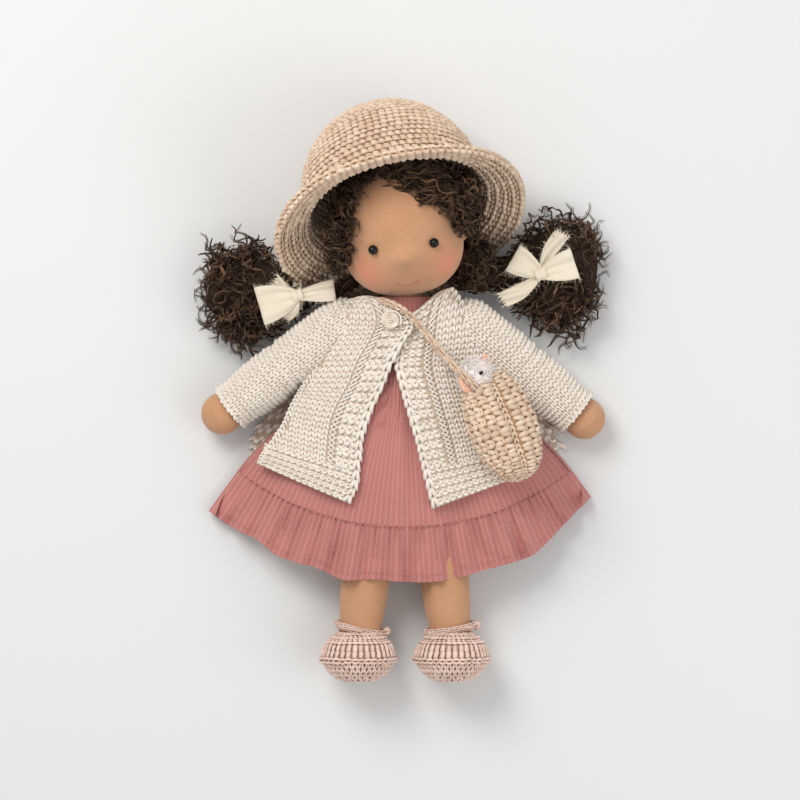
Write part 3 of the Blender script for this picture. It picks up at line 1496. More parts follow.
def overlap_rise(x: Array, y: Array) -> Array:
    """How far the left front lies higher where it covers the right one, at the button."""
    across = smooth_step(x, -0.20 * CARDIGAN_WIDTH, -0.08 * CARDIGAN_WIDTH)
    down = smooth_step(y, CARDIGAN_TOP - 0.38 * CARDIGAN_LENGTH, CARDIGAN_TOP - 0.22 * CARDIGAN_LENGTH)
    return (KNIT + 2 * GAP) * across * down


@dataclass
class Front:
    """A knitted front: a garter band, a lace column, stocking stitch to the raglan seam and a garter hem."""

    side: Side

    def build(self) -> None:
        """Make the front's pieces."""
        word = self.side.word
        base = sheet_mesh(40, 60, lambda u, v: self.at(u * self.width(v), v, -0.0007), weld=False)
        under = mesh_object(f"front_under_{word}", thickened(base, 0.0016), WOOL_BASE)
        settle(under, "doll", f"cardigan_front_{word}")
        self.knit("front_knit", knit_vee(), self.body_cells(), -0.0006)
        self.knit("front_band", garter_ridge(), self.band_cells(), -0.0004)
        self.knit("front_hem", garter_ridge(), self.hem_cells(), -0.0004)
        self.knit("front_edge", knit_vee(), self.edge_cells(), 0.0)
        self.knit("front_raglan", knit_vee(), self.raglan_cells(), 0.0002)
        self.lace()

    def edges(self, v: Array) -> tuple[Array, Array]:
        """The inner and the outer edge at shares of the way down."""
        scale = np.array([CARDIGAN_WIDTH, -CARDIGAN_LENGTH])
        shift = np.array([0, CARDIGAN_TOP])
        return tuple(along_points(shares, v) * scale + shift for shares in FRONT_EDGES[self.side])

    def width(self, v: Array) -> Array:
        """How wide the front is at shares of the way down."""
        inner, outer = self.edges(v)
        return np.linalg.norm(outer - inner, axis=-1)

    def at(self, across: Array, v: Array, height: float = 0.0) -> Array:
        """Points of the front's middle sheet.

        Args:
            across: metres from the inner edge.
            v: shares down from the neck.
            height: metres out of the sheet.

        Returns:
            The points.
        """
        inner, outer = self.edges(v)
        place = inner + unit(outer - inner) * np.asarray(across)[..., None]
        share = np.clip(np.asarray(across) / np.linalg.norm(outer - inner, axis=-1), 0, 1)
        hump = np.sin(math.pi * 0.85 * share) if self.side is Side.LEFT else smooth_step(share, 0.0, 0.8)
        x, y = place[..., 0], place[..., 1] + NECK_RISE * hump * (1 - smooth_step(np.asarray(v), 0.0, 0.16))
        points = over_drape(x, y, KNIT / 2 + GAP + height)
        if self.side is Side.LEFT:
            points[..., 2] += overlap_rise(x, y)
        return points

    def knit(self, name: str, stitch: Stitch, cells: Cells, lift: float) -> None:
        """Lay stitches whose u is metres across the front, in tenths of a metre.

        Args:
            name: the piece's name.
            stitch: the stitch.
            cells: where it goes.
            lift: how far out of the middle sheet.
        """
        flip = 1 if self.side is Side.LEFT else -1
        turned = Cells(cells.u * flip, cells.v, cells.du, cells.dv, cells.high)
        name = f"{name}_{self.side.word}"
        settle(laid(name, stitch, turned, lambda u, v: self.at(u * 0.1 * flip, v), WOOL, 0.05, lift), "doll")

    def grid(self, across: Array, down: Array, wide: float, long: float, high: Array | float) -> Cells:
        """Cells at metres across and shares down."""
        return Cells.of(across * 10, down, wide * 10, long, high)

    def body_cells(self) -> Cells:
        """Stocking stitch in columns that keep their distance from the band, and end at the raglan seam."""
        rows = round(CARDIGAN_LENGTH * HEM_FROM / ROW)
        row, column = np.divmod(np.arange(rows * 24), 24)
        across, down = BAND + LACE + (column + 0.5) * COLUMN, (row + 0.5) / rows * HEM_FROM
        cells = self.grid(across, down, COLUMN, HEM_FROM / rows, 0.0034)
        return cells.keep(across < self.width(down) - COLUMN * 0.9)

    def ridges(self, rows: int, columns: int, across: Array, down: Array, heights: tuple[float, float]) -> Cells:
        """Garter stitch, in which each second row stands high.

        Args:
            rows: rows down.
            columns: stitches across.
            across: where the first stitch starts and the last one ends, in metres.
            down: the shares down that the rows fill.
            heights: the high rows' height and the low rows'.

        Returns:
            The cells.
        """
        row, column = np.divmod(np.arange(rows * columns), columns)
        wide, long = (across[1] - across[0]) / columns, (down[1] - down[0]) / rows
        at, below = across[0] + (column + 0.5) * wide, down[0] + (row + 0.5) * long
        cells = self.grid(at, below, wide, 1.5 * long, np.where(row % 2 == 0, *heights))
        return cells.keep(at < self.width(below) - 0.001)

    def band_cells(self) -> Cells:
        """The garter band's ridges, which run down it, three stitches wide."""
        rows = round(CARDIGAN_LENGTH * 1.02 * HEM_FROM / (RIDGE / 2))
        return self.ridges(rows, 3, (0.0022, BAND), (0.0, HEM_FROM), (0.0048, 0.0016))

    def hem_cells(self) -> Cells:
        """The garter hem's ridges."""
        return self.ridges(9, 26, (0.0026, 0.0026 + 26 * COLUMN), (HEM_FROM, 0.995), (0.0044, 0.0014))

    def edge_cells(self) -> Cells:
        """The slipped chain along the opening."""
        return self.grid(0.0010, (np.arange(23) + 0.5) / 23, 0.0044, 1.04 / 23, 0.0050)

    def raglan_cells(self) -> Cells:
        """The chain along the raglan seam and the side."""
        down = (np.arange(40) + 0.5) / 40
        return self.grid(self.width(down) - 0.0014, down, 0.0028, 1.05 / 40, 0.0026)

    def lace(self) -> None:
        """The lace column beside the band: a yarn that zigzags between its holes."""
        count = 34
        down = np.linspace(0.02, HEM_FROM, count)
        bm = bmesh.new()
        for phase in (0, 1):
            sway = np.where((np.arange(count) + phase) % 2 == 0, -1.0, 1.0) * LACE * 0.30
            points = self.at(BAND + LACE / 2 + sway, down, 0.0006)
            keep = self.width(down) > BAND + LACE * 1.5
            swept(bm, points[keep], [0.00085] * int(keep.sum()), 6)
        settle(mesh_object(f"front_lace_{self.side.word}", bm, WOOL), "doll")


@dataclass
class Back:
    """The cardigan's back, knitted in garter stitch, flat on the floor."""

    rows: int = 38
    button_radius: float = 0.0046
    button_thickness: float = 0.0016

    def build(self) -> None:
        """Make the back's pieces and the shell button."""
        under = thickened(sheet_mesh(20, 30, self.shape, weld=False), 0.0014)
        base = mesh_object("back_under", under, WOOL_BASE)
        settle(base, "doll", "cardigan_back")
        for name, cells, surface, lift in (
            ("top", Cells.rows(34, self.rows // 2, 0.0036), lambda u, v: self.shape(1 - u, v), 0.0),
            ("floor", Cells.rows(22, self.rows // 2 - 6, 0.0016), self.shape, -0.0001),
        ):
            settle(laid(f"back_garter_{name}", garter_bump(), cells, surface, WOOL, 0.05, lift), "doll")
        self.collar()
        self.button()

    def shape(self, u: Array, v: Array) -> Array:
        """The back's middle sheet."""
        wide, down = np.moveaxis(along_points(BACK_SHARES, v), -1, 0)
        return xyz((2 * u - 1) * wide * CARDIGAN_WIDTH, CARDIGAN_TOP - down * CARDIGAN_LENGTH, KNIT / 2)

    def collar(self) -> None:
        """The neckline's rolled edge, round the back of the neck."""
        turn = np.linspace(math.radians(-55), math.radians(235), 60)
        top = np.sin(turn)
        path = xyz(0.0175 * np.cos(turn) - 0.001, 0.0385 + 0.0035 * top, 0.0290 - 0.0215 * top)
        keep = path[:, 2] > 0.004
        settle(strands("collar_roll", path[None, keep], 0.0013, WOOL), "doll")

    def button(self) -> None:
        """The shell button: a dished disc with two holes, a yarn through them and its loop."""
        middle, radius, thick = node_box("cardigan_button")[0], self.button_radius, self.button_thickness
        bm = bmesh.new()
        bmesh.ops.create_circle(bm, cap_ends=True, segments=48, radius=radius)
        top = bmesh.ops.extrude_face_region(bm, geom=bm.faces[:])
        lifted = [g for g in top["geom"] if isinstance(g, bmesh.types.BMVert)]
        bmesh.ops.translate(bm, verts=lifted, vec=(0, 0, thick))
        faces = [f for f in bm.faces if f.calc_center_median().z > thick * 0.9]
        bmesh.ops.inset_region(bm, faces=faces, thickness=radius * 0.16, depth=0.0)
        faces = [f for f in bm.faces if f.calc_center_median().z > thick * 0.9 and len(f.verts) > 4]
        bmesh.ops.inset_region(bm, faces=faces, thickness=radius * 0.12, depth=-0.00035)
        rim = [e for e in bm.edges if e.calc_length() < radius * 0.2 and not e.is_boundary
               and all(abs(v.co.xy.length - radius) < 1e-5 for v in e.verts)]
        bmesh.ops.bevel(bm, geom=rim, offset=0.00045, segments=3, profile=0.5, affect="EDGES", material=-1)
        bmesh.ops.recalc_face_normals(bm, faces=bm.faces)
        bmesh.ops.translate(bm, verts=bm.verts, vec=Vector(middle) - Vector((0, 0, thick / 2)))
        settle(mesh_object("button_disc", bm, SHELL), "doll", "cardigan_button")
        bm = bmesh.new()
        x = np.array([-0.0016, -0.0010, 0.0, 0.0010, 0.0016])
        for lean in (-0.0005, 0.0005):
            swept(bm, middle + xyz(x, lean, np.array([0.0001, 0.0009, 0.0012, 0.0009, 0.0001])),
                  (0.0003, 0.0004, 0.0004, 0.0004, 0.0003), 6)
        turn = np.linspace(math.radians(-30), math.radians(200), 18)
        loop = xyz(0.0053 * np.cos(turn) + 0.0004, 0.0053 * np.sin(turn), 0.0002 - 0.0004 * np.sin(turn))
        swept(bm, middle + loop, [0.00062] * len(turn), 6)
        settle(mesh_object("button_yarn", bm, WOOL), "doll")


# Hat

HAT_LEAN, HAT_TIP = math.radians(14.5), math.radians(31)
HAT_CROWN, HAT_HIGH = 0.050, 0.070
HAT_PROFILE = (
    (0.0, 1.0), (0.22, 0.985), (0.45, 0.93), (0.68, 0.81), (0.86, 0.63), (0.96, 0.43), (1.0, 0.24),
    (1.0 + 0.12 * 0.4, 0.13), (1.0 + 0.38 * 0.4, 0.075), (1.0 + 0.70 * 0.4, 0.035), (1.4, 0.0),
)


@dataclass
class Hat:
    """The crocheted raffia hat: rounds of fat stitches from the crown's middle to the brim's edge."""

    pitch: float = 0.0039
    step: float = 0.0008
    profile: Array = field(default_factory=lambda: np.empty(0))
    lengths: Array = field(default_factory=lambda: np.empty(0))

    def __post_init__(self) -> None:
        """Measure the way down the hat's side."""
        table = along_points(HAT_PROFILE, np.linspace(0, 1, 400))
        table[:, 0] *= HAT_CROWN
        table[:, 1] *= HAT_HIGH
        self.profile = table
        self.lengths = np.concatenate([[0], np.cumsum(np.linalg.norm(np.diff(table, axis=0), axis=1))])

    def build(self) -> None:
        """Make the straw base and the stitches on both sides of it."""
        bm = sheet_mesh(96, 60, self.surface(0.0))
        settle(mesh_object("hat_under", thickened(bm, 0.0012), STRAW_BASE), "hat", "hat_crown", "hat_brim")
        cells = self.rounds()
        settle(laid("hat_rounds_out", crochet_stitch(), cells, self.surface(0.0006), STRAW, 0.07), "hat")
        inner = Cells(1 - cells.u, cells.v, cells.du, cells.dv, cells.high)
        settle(laid("hat_rounds_in", crochet_stitch(4), inner, self.inside(), STRAW, 0.07), "hat")
        edge = Cells.rows(110, 1, 0.0030, v_range=(0.985, 1.005))
        settle(laid("hat_edge", chain_across(), edge, self.surface(0.0004), STRAW, 0.07), "hat")

    def rounds(self) -> Cells:
        """Rounds whose stitches keep their width as the hat widens, and grow on the brim."""
        whole = float(self.lengths[-1])
        parts: list[Cells] = []
        done = 0.0028
        k = 0
        while done < whole - 0.0015:
            brim = smooth_step(np.array(done / whole), 0.66, 0.74).item()
            long = self.pitch * (0.92 + 0.28 * brim)
            radius = float(np.interp(done + long / 2, self.lengths, self.profile[:, 0]))
            count = max(round(2 * math.pi * radius / (self.pitch * (1.02 + 0.10 * brim))), 6)
            u = (np.arange(count) + 0.5 * (k % 2)) / count
            at = (done + long / 2) / whole
            parts.append(Cells.of(u, at, 1.04 / count, 1.02 * long / whole, 0.0034 + 0.0006 * brim))
            done += long
            k += 1
        return Cells.joined(parts)

    def side_at(self, along: Array) -> Array:
        """The side's radius and height, at distances from the crown's middle."""
        return np.stack([np.interp(along, self.lengths, column) for column in self.profile.T])

    def surface(self, grow: float) -> Surface:
        """The hat's wall, pressed flat where it lies on the floor.

        Args:
            grow: how far outside its middle.

        Returns:
            The surface.
        """
        level = math.cos(HAT_TIP)
        crown = np.array([-math.sin(HAT_LEAN) * level, math.cos(HAT_LEAN) * level, -math.sin(HAT_TIP)])
        side = np.array([math.cos(HAT_LEAN), math.sin(HAT_LEAN), 0.0])
        front = np.cross(side, crown)
        whole = float(self.lengths[-1])

        def shape(u: Array, v: Array) -> Array:
            """Its points, at shares round or across it and along it."""
            along = np.clip(v, 0, 1.02) * whole
            radius, high = self.side_at(along)
            radius = radius + np.maximum(along - whole, 0)
            slope_r, slope_h = self.side_at(along + self.step) - self.side_at(along - self.step)
            size = np.maximum(np.hypot(slope_r, slope_h), 1e-9)
            turn = 2 * math.pi * u
            wave = 0.0016 * np.sin(3 * turn + 0.6) * smooth_step(v, 0.7, 1.0)
            radius = radius - grow * slope_h / size
            high = high + grow * slope_r / size + wave
            around = xyz(radius * np.cos(turn), radius * np.sin(turn), high)
            x, y, z = np.moveaxis(HEAD_CENTRE + around @ np.stack([side, front, crown]), -1, 0)
            rest = soft = RAFFIA / 2
            below = (rest - z) / soft
            raised = np.where(below > 30, rest, rest + soft * np.log1p(np.exp(-np.minimum(below, 30.0))))
            raised = np.where(below < -12, z, raised)
            y = np.where(y < HEAD_CENTRE[1] - 0.01, y - 0.6 * (raised - z), y)
            return xyz(x, y, raised)

        return shape

    def inside(self) -> Surface:
        """The same wall seen from inside it."""
        outer = self.surface(-0.0006)
        return lambda u, v: outer(1 - u, v)


# Hair

PIGTAIL_SHARES = (
    (0.00, 0.10, 0.24), (0.10, 0.16, 0.40), (0.24, 0.19, 0.46), (0.34, 0.20, 0.48), (0.46, 0.56, 0.80),
    (0.60, 0.90, 1.00), (0.78, 1.00, 1.00), (0.92, 0.72, 0.84), (1.00, 0.30, 0.44),
)
PIGTAIL_SPINE = {
    Side.LEFT: ((-0.0215, 0.0610, 0.0240), (-0.0440, 0.0522, 0.0185), (-0.0620, 0.0500, 0.0170),
                (-0.0800, 0.0515, 0.0140), (-0.0960, 0.0520, 0.0130), (-0.1120, 0.0500, 0.0130)),
    Side.RIGHT: ((0.0190, 0.0620, 0.0240), (0.0400, 0.0590, 0.0190), (0.0590, 0.0605, 0.0160),
                 (0.0760, 0.0620, 0.0140), (0.0940, 0.0630, 0.0130), (0.1080, 0.0620, 0.0130)),
}
PIGTAIL_WIDTH = {Side.LEFT: 0.031, Side.RIGHT: 0.037}
PIGTAIL_HEIGHT = 0.0125
FACE_AT, FACE_SIZE = np.array([0, -0.0123, 0.034]), np.array([0.0318, 0.0420, 0.0357])
NAPE_AT, EAR_SIZE = np.array([-0.0006, 0.0497, 0.0332]), np.array([0.007, 0.0072, 0.0045])
TIE_SHARE = {Side.LEFT: 0.38, Side.RIGHT: 0.60}
BOW_RISE = {Side.LEFT: 0.0072, Side.RIGHT: 0.0048}


def curled(spines: Array, radius: Array, turns: Array, phase: Array, points: int) -> Array:
    """Curls that wind round their own spines.

    Args:
        spines: for each curl, points along its middle.
        radius: for each curl, how wide it winds.
        turns: for each curl, how often.
        phase: for each curl, where it starts.
        points: points along each strand.

    Returns:
        For each curl, the points of its strand.
    """
    share = np.linspace(0, 1, points)
    at = share * (spines.shape[1] - 1)
    low = np.minimum(at.astype(int), spines.shape[1] - 2)
    part = (at - low)[None, :, None]
    middle = spines[:, low] * (1 - part) + spines[:, low + 1] * part
    way = unit(np.gradient(middle, axis=1))
    side = unit(np.cross(way, [0.13, 0.21, 0.97]))
    up = np.cross(side, way)
    turn = (phase[:, None] + 2 * math.pi * turns[:, None] * share)[..., None]
    grown = (radius[:, None] * (0.25 + 0.75 * np.sin(math.pi * np.clip(share * 1.25, 0, 1) / 2)))[..., None]
    return middle + (side * np.cos(turn) + up * np.sin(turn)) * grown


def in_locks(paths: Array, each: int, spread: float, random: np.random.Generator) -> Array:
    """Strands that keep together: copies of each curl that drift apart towards their tips.

    Args:
        paths: one curl for each lock.
        each: strands in a lock.
        spread: how far apart they lie, in metres.
        random: where their places come from.

    Returns:
        All the strands.
    """
    count, points, _ = paths.shape
    share = np.linspace(0.35, 1.3, points)[None, None, :, None]
    off = random.normal(size=(count, each, 1, 3)) * spread
    sway = random.normal(size=(count, each, 1, 3)) * spread * 0.7
    wave = np.sin(np.linspace(0, 2 * math.pi, points))[None, None, :, None]
    return (paths[:, None] + off * share + sway * wave).reshape(count * each, points, 3)


def bow_knot(side: Side) -> Array:
    """Where a pigtail's bow has its knot."""
    share = np.array([TIE_SHARE[side]])
    tall = PIGTAIL_HEIGHT * curve_through(PIGTAIL_SHARES, share)[0, 1]
    return along_points(PIGTAIL_SPINE[side], share)[0] + np.array([0, 0, tall + BOW_RISE[side]])


@dataclass
class Hair:
    """Curly mohair: the cap, the curls over the forehead, the locks beside the cheeks and two pigtails."""

    strand: float = 0.00021
    each: int = 7
    seed: int = SEED

    def build(self) -> None:
        """Make the hair's pieces."""
        self.cap()
        self.fringe()
        for side in Side:
            self.lock(side)
            self.pigtail(side)

    def cap(self) -> None:
        """The dark base over the scalp, and short curls that stand out of it."""
        bm = ball(64, 48, lambda way: head_points(unit(way), self.depth(unit(way)) * 0.75), lying=True)
        bare = [f for f in bm.faces if self.is_face(np.array(f.calc_center_median()))]
        bmesh.ops.delete(bm, geom=bare, context="FACES")
        settle(mesh_object("hair_base", thickened(bm, 0.0012), HAIR_BASE), "head", "hair_cap")
        random = np.random.default_rng(self.seed)
        way = unit(random.normal(size=(450, 3)))
        root = head_points(way, self.depth(way) * 0.70)
        throat = (way[:, 1] < -0.52) & (way[:, 2] > -0.6)
        keep = ~self.is_face(root) & (root[:, 2] > 0.004) & ~throat
        way, root = self.hairline(way[keep], random), root[keep]
        root = head_points(way, self.depth(way) * 0.70)
        out = unit(way @ HEAD_TURN.T)
        drift = unit(random.normal(size=out.shape))
        flow = unit(np.cross(out, drift))
        long = random.uniform(0.006, 0.013, len(root))[:, None]
        middle, tip = root + out * 0.0018 + flow * long * 0.4, root + out * 0.0016 + flow * long
        spines = np.stack([root, middle, tip], axis=1)
        spines[..., 2] = np.maximum(spines[..., 2], 0.0045)
        paths = curled(spines, random.uniform(0.0010, 0.0024, len(root)), random.uniform(1.0, 2.0, len(root)),
                       random.uniform(0, 6.28, len(root)), 11)
        paths = in_locks(paths, self.each - 2, 0.00036, random)
        settle(strands("hair_cap_curls", paths, self.strand, HAIR), "head")

    def hairline(self, way: Array, random: np.random.Generator) -> Array:
        """Directions of curls, with more of them round the face's opening.

        Args:
            way: directions all over the scalp.
            random: where the added ones come from.

        Returns:
            All of them.
        """
        more = unit(random.normal(size=(5000, 3)))
        root = head_points(more, self.depth(more) * 0.70)
        reach, up = self.face_reach(root), ((root - HEAD_CENTRE) @ HEAD_TURN)[:, 1]
        near = (reach > 1.0) & (reach < 1.22) & (up > -0.30 * HEAD_SIZE[1])
        return np.concatenate([way, more[near][:200]])

    def depth(self, way: Array) -> Array:
        """The hair's thickness in a direction."""
        swell = 0.22 * (np.sin(way[..., 0] * 9) + np.sin(way[..., 1] * 8 + way[..., 2] * 5))
        low = 1 - 0.62 * np.maximum(-way[..., 1], 0) ** 2
        return 0.0046 * (1 + 0.9 * np.maximum(-way[..., 2], 0) + swell) * low

    def face_reach(self, points: Array) -> Array:
        """How far points lie from the face's middle: less than 1 in its opening."""
        local = (points - HEAD_CENTRE) @ HEAD_TURN
        return np.sum(((local - FACE_AT) / FACE_SIZE) ** 2, axis=-1)

    def is_face(self, points: Array) -> Array:
        """Which points lie in the face's opening, or where the ears and the neck are."""
        local = (points - HEAD_CENTRE) @ HEAD_TURN
        up, out = local[..., 1] / HEAD_SIZE[1], local[..., 2] / HEAD_SIZE[2]
        found = (self.face_reach(points) < 1) | ((up < -0.52) & (out > -0.55)) | ((up < -0.08) & (out > -0.18))
        found |= np.sum(((points - NAPE_AT) / 0.0150) ** 2, axis=-1) < 1
        for sign in (-1, 1):
            found |= np.sum(((local - np.array([sign * 0.0325, -0.008, -0.0035])) / EAR_SIZE) ** 2, axis=-1) < 1
        return found

    def cloud(self, name: str, node: str, body: str, centre: Array, turn: Array, radii: Sequence[float], count: int,
              flow: Array, curl: tuple[float, float], long: tuple[float, float]) -> None:
        """A soft heap of curls in an ellipsoid, over a dark base.

        Args:
            name: the pieces' name.
            node: the CAD node that they stand for.
            body: the body that they ride on.
            centre: its middle.
            turn: its axes.
            radii: its half sizes.
            count: how many strands.
            flow: the way that the curls run, or zero for every way.
            curl: the least and the greatest radius of a curl.
            long: the least and the greatest length of a strand.
        """
        random = np.random.default_rng(self.seed + len(name))
        radii = np.asarray(radii)
        bm = bmesh.new()
        bmesh.ops.create_icosphere(bm, subdivisions=3, radius=1)

        def rule(way: Array) -> Array:
            """Where the points of a unit ball go."""
            x, y, z = way.T[..., None]
            lump = 1 + 0.10 * np.sin(7 * x + 3 * y) * np.sin(6 * y + 4 * z)
            return centre + way * radii * 0.74 * lump @ turn.T

        shaped(bm, rule)
        settle(mesh_object(f"{name}_base", bm, HAIR_BASE), body, *([node] if node else []))
        ball = unit(random.normal(size=(count, 3)))
        root = ball * random.uniform(0.55, 0.98, (count, 1))
        ahead = unit(random.normal(size=(count, 3)) + np.asarray(flow) * 2.4)
        ahead = unit(ahead - ball * np.sum(ahead * ball, axis=1, keepdims=True) * 0.9)
        size = random.uniform(*long, (count, 1))
        start = centre + (root * radii) @ turn.T
        way = ahead @ turn.T
        bend = unit(random.normal(size=(count, 3)))
        spines = np.stack([start - way * size / 2, start + bend * size * 0.10, start + way * size / 2], axis=1)
        inside = (spines - centre) @ turn / (radii * 1.06)
        far = np.maximum(np.linalg.norm(inside, axis=-1, keepdims=True), 1)
        spines = centre + (inside / far * radii * 1.06) @ turn.T
        spines[..., 2] = np.maximum(spines[..., 2], 0.0015)
        paths = curled(spines, random.uniform(*curl, count), random.uniform(1.2, 2.4, count),
                       random.uniform(0, 6.28, count), 13)
        paths = in_locks(paths, self.each, 0.00034, random)
        settle(strands(f"{name}_curls", paths, self.strand, HAIR), body)

    def fringe(self) -> None:
        """Curls swept from the crown over the forehead to the right ear."""
        centre = in_head((0.0325 * 0.34, 0.041 * 0.52, 0.034 * 0.74))
        turn = np.array(Matrix.Rotation(HEAD_TILT - math.radians(38), 3, "Z"))
        self.cloud("fringe", "hair_fringe", "head", centre, turn, (0.027, 0.0125, 0.0092), 185, (3.0, 0.4, 0.0),
                   (0.0016, 0.0034), (0.020, 0.038))

    def lock(self, side: Side) -> None:
        """The loose lock beside a cheek."""
        up, size = (-0.18, 0.62) if side is Side.LEFT else (0.16, 0.9)
        long = 0.019 * (0.75 + 0.25 * size)
        centre = in_head((side.value * 0.0325 * 1.12, 0.041 * up, 0.034 * 0.42))
        self.cloud(f"lock_{side.word}", f"hair_side_{side.word}", "head", centre, np.eye(3),
                   (long * 0.62 * size, long, long * 0.62), 110 if side is Side.LEFT else 165, (0, -0.6, 0),
                   (0.0016, 0.0036), (0.012, 0.024))
        if side is Side.RIGHT:
            low = np.array([0.0395, 0.0690, 0.0285])
            self.cloud("lock_low", "", "head", low, np.eye(3), (0.0115, 0.0165, 0.0100), 85, (0, -0.6, 0),
                       (0.0016, 0.0036), (0.012, 0.024))

    def pigtail(self, side: Side) -> None:
        """A pigtail: a frizzy mass of curls that is narrow at its tie."""
        spine, wide = PIGTAIL_SPINE[side], PIGTAIL_WIDTH[side]
        body, word = f"pigtail_{side.word}", side.word

        def frame_at(v: Array) -> tuple[Array, Array, Array]:
            """The pigtail's middle, and the ways along it and across it."""
            here = along_points(spine, v)
            ahead = along_points(spine, np.minimum(v + 0.02, 1)) - along_points(spine, np.maximum(v - 0.02, 0))
            ahead[..., 2] = 0
            across = unit(np.cross(unit(ahead), [0.0, 0.0, 1.0]))
            return here, unit(ahead), across

        def inside(u: Array, v: Array, out: Array) -> Array:
            """Points in the pigtail, from its middle at 0 to its outside at 1."""
            here, _, across = frame_at(v)
            rows = curve_through(PIGTAIL_SHARES, v)
            turn = 2 * math.pi * u
            lump = 1 + 0.07 * np.sin(5 * turn + 9 * v)
            x = wide * rows[..., 0] * lump * np.cos(turn) * out
            z = PIGTAIL_HEIGHT * rows[..., 1] * np.sin(turn) * out
            return here + across * x[..., None] + xyz(0.0, 0.0, z)

        base = closed(sheet_mesh(48, 40, lambda u, v: inside(u, v, np.full(u.shape, 0.66))))
        settle(mesh_object(f"pigtail_base_{word}", base, HAIR_BASE), body, f"pigtail_{word}")
        random = np.random.default_rng(self.seed + side.value)
        for batch, count in enumerate((215, 215)):
            v = 0.03 + 0.94 * random.beta(1.5, 1.0, count)
            u = random.uniform(0, 1, count)
            out = random.uniform(0.66, 1.0, count)
            start = inside(u, v, out)
            _, ahead, across = frame_at(v)
            size = (random.uniform(0.012, 0.026, count) * (0.5 + 0.5 * smooth_step(v, 0.3, 0.6)))[:, None]
            loose = smooth_step(v, 0.36, 0.6)[:, None]
            way = unit(ahead + random.normal(size=(count, 3)) * (0.12 + 0.9 * loose))
            bend = unit(random.normal(size=(count, 3)))
            half = way * size / 2
            spines = np.stack([start - half, start + bend * size * 0.12, start + half], axis=1)
            spines[..., 2] = np.maximum(spines[..., 2], 0.0022)
            radius = random.uniform(0.0014, 0.0036, count) * (0.35 + 0.65 * loose[:, 0])
            paths = curled(spines, radius, random.uniform(1.1, 2.4, count), random.uniform(0, 6.28, count), 12)
            paths = in_locks(paths, self.each, 0.00036, random)
            knot = bow_knot(side)
            near = np.linalg.norm(paths[..., :2] - knot[:2], axis=-1)
            paths[..., 2] = np.minimum(paths[..., 2], knot[2] - 0.0040 + np.maximum(near - 0.021, 0) * 2)
            paths[..., 2] = np.maximum(paths[..., 2], 0.0004)
            settle(strands(f"pigtail_curls_{word}_{batch}", paths, self.strand, HAIR), body)


# Bag and plush

BAG_MIDDLE = np.array([0.0535, -0.0220, 0.0575])
BAG_SIZE = np.array([0.0185, 0.0315, 0.0125])
BAG_TURN, BAG_ROLL = math.radians(22), math.radians(-24)
BAG_DOWN = np.array([math.sin(BAG_TURN), -math.cos(BAG_TURN), 0.0])
BAG_ROLLED = Matrix.Rotation(BAG_ROLL, 3, Vector(BAG_DOWN))
BAG_ACROSS = np.array(BAG_ROLLED @ Vector((math.cos(BAG_TURN), math.sin(BAG_TURN), 0)))
BAG_UP = np.array(BAG_ROLLED @ Vector((0, 0, 1)))
BAG_AXES = np.stack([BAG_ACROSS, BAG_DOWN, BAG_UP])
BAG_SQUARE, BAG_MOUTH = 0.78, 0.16


def in_bag(x: Array, y: Array, z: Array) -> Array:
    """Points from the bag's own axes in the doll's."""
    return BAG_MIDDLE + xyz(x, y, z) @ BAG_AXES


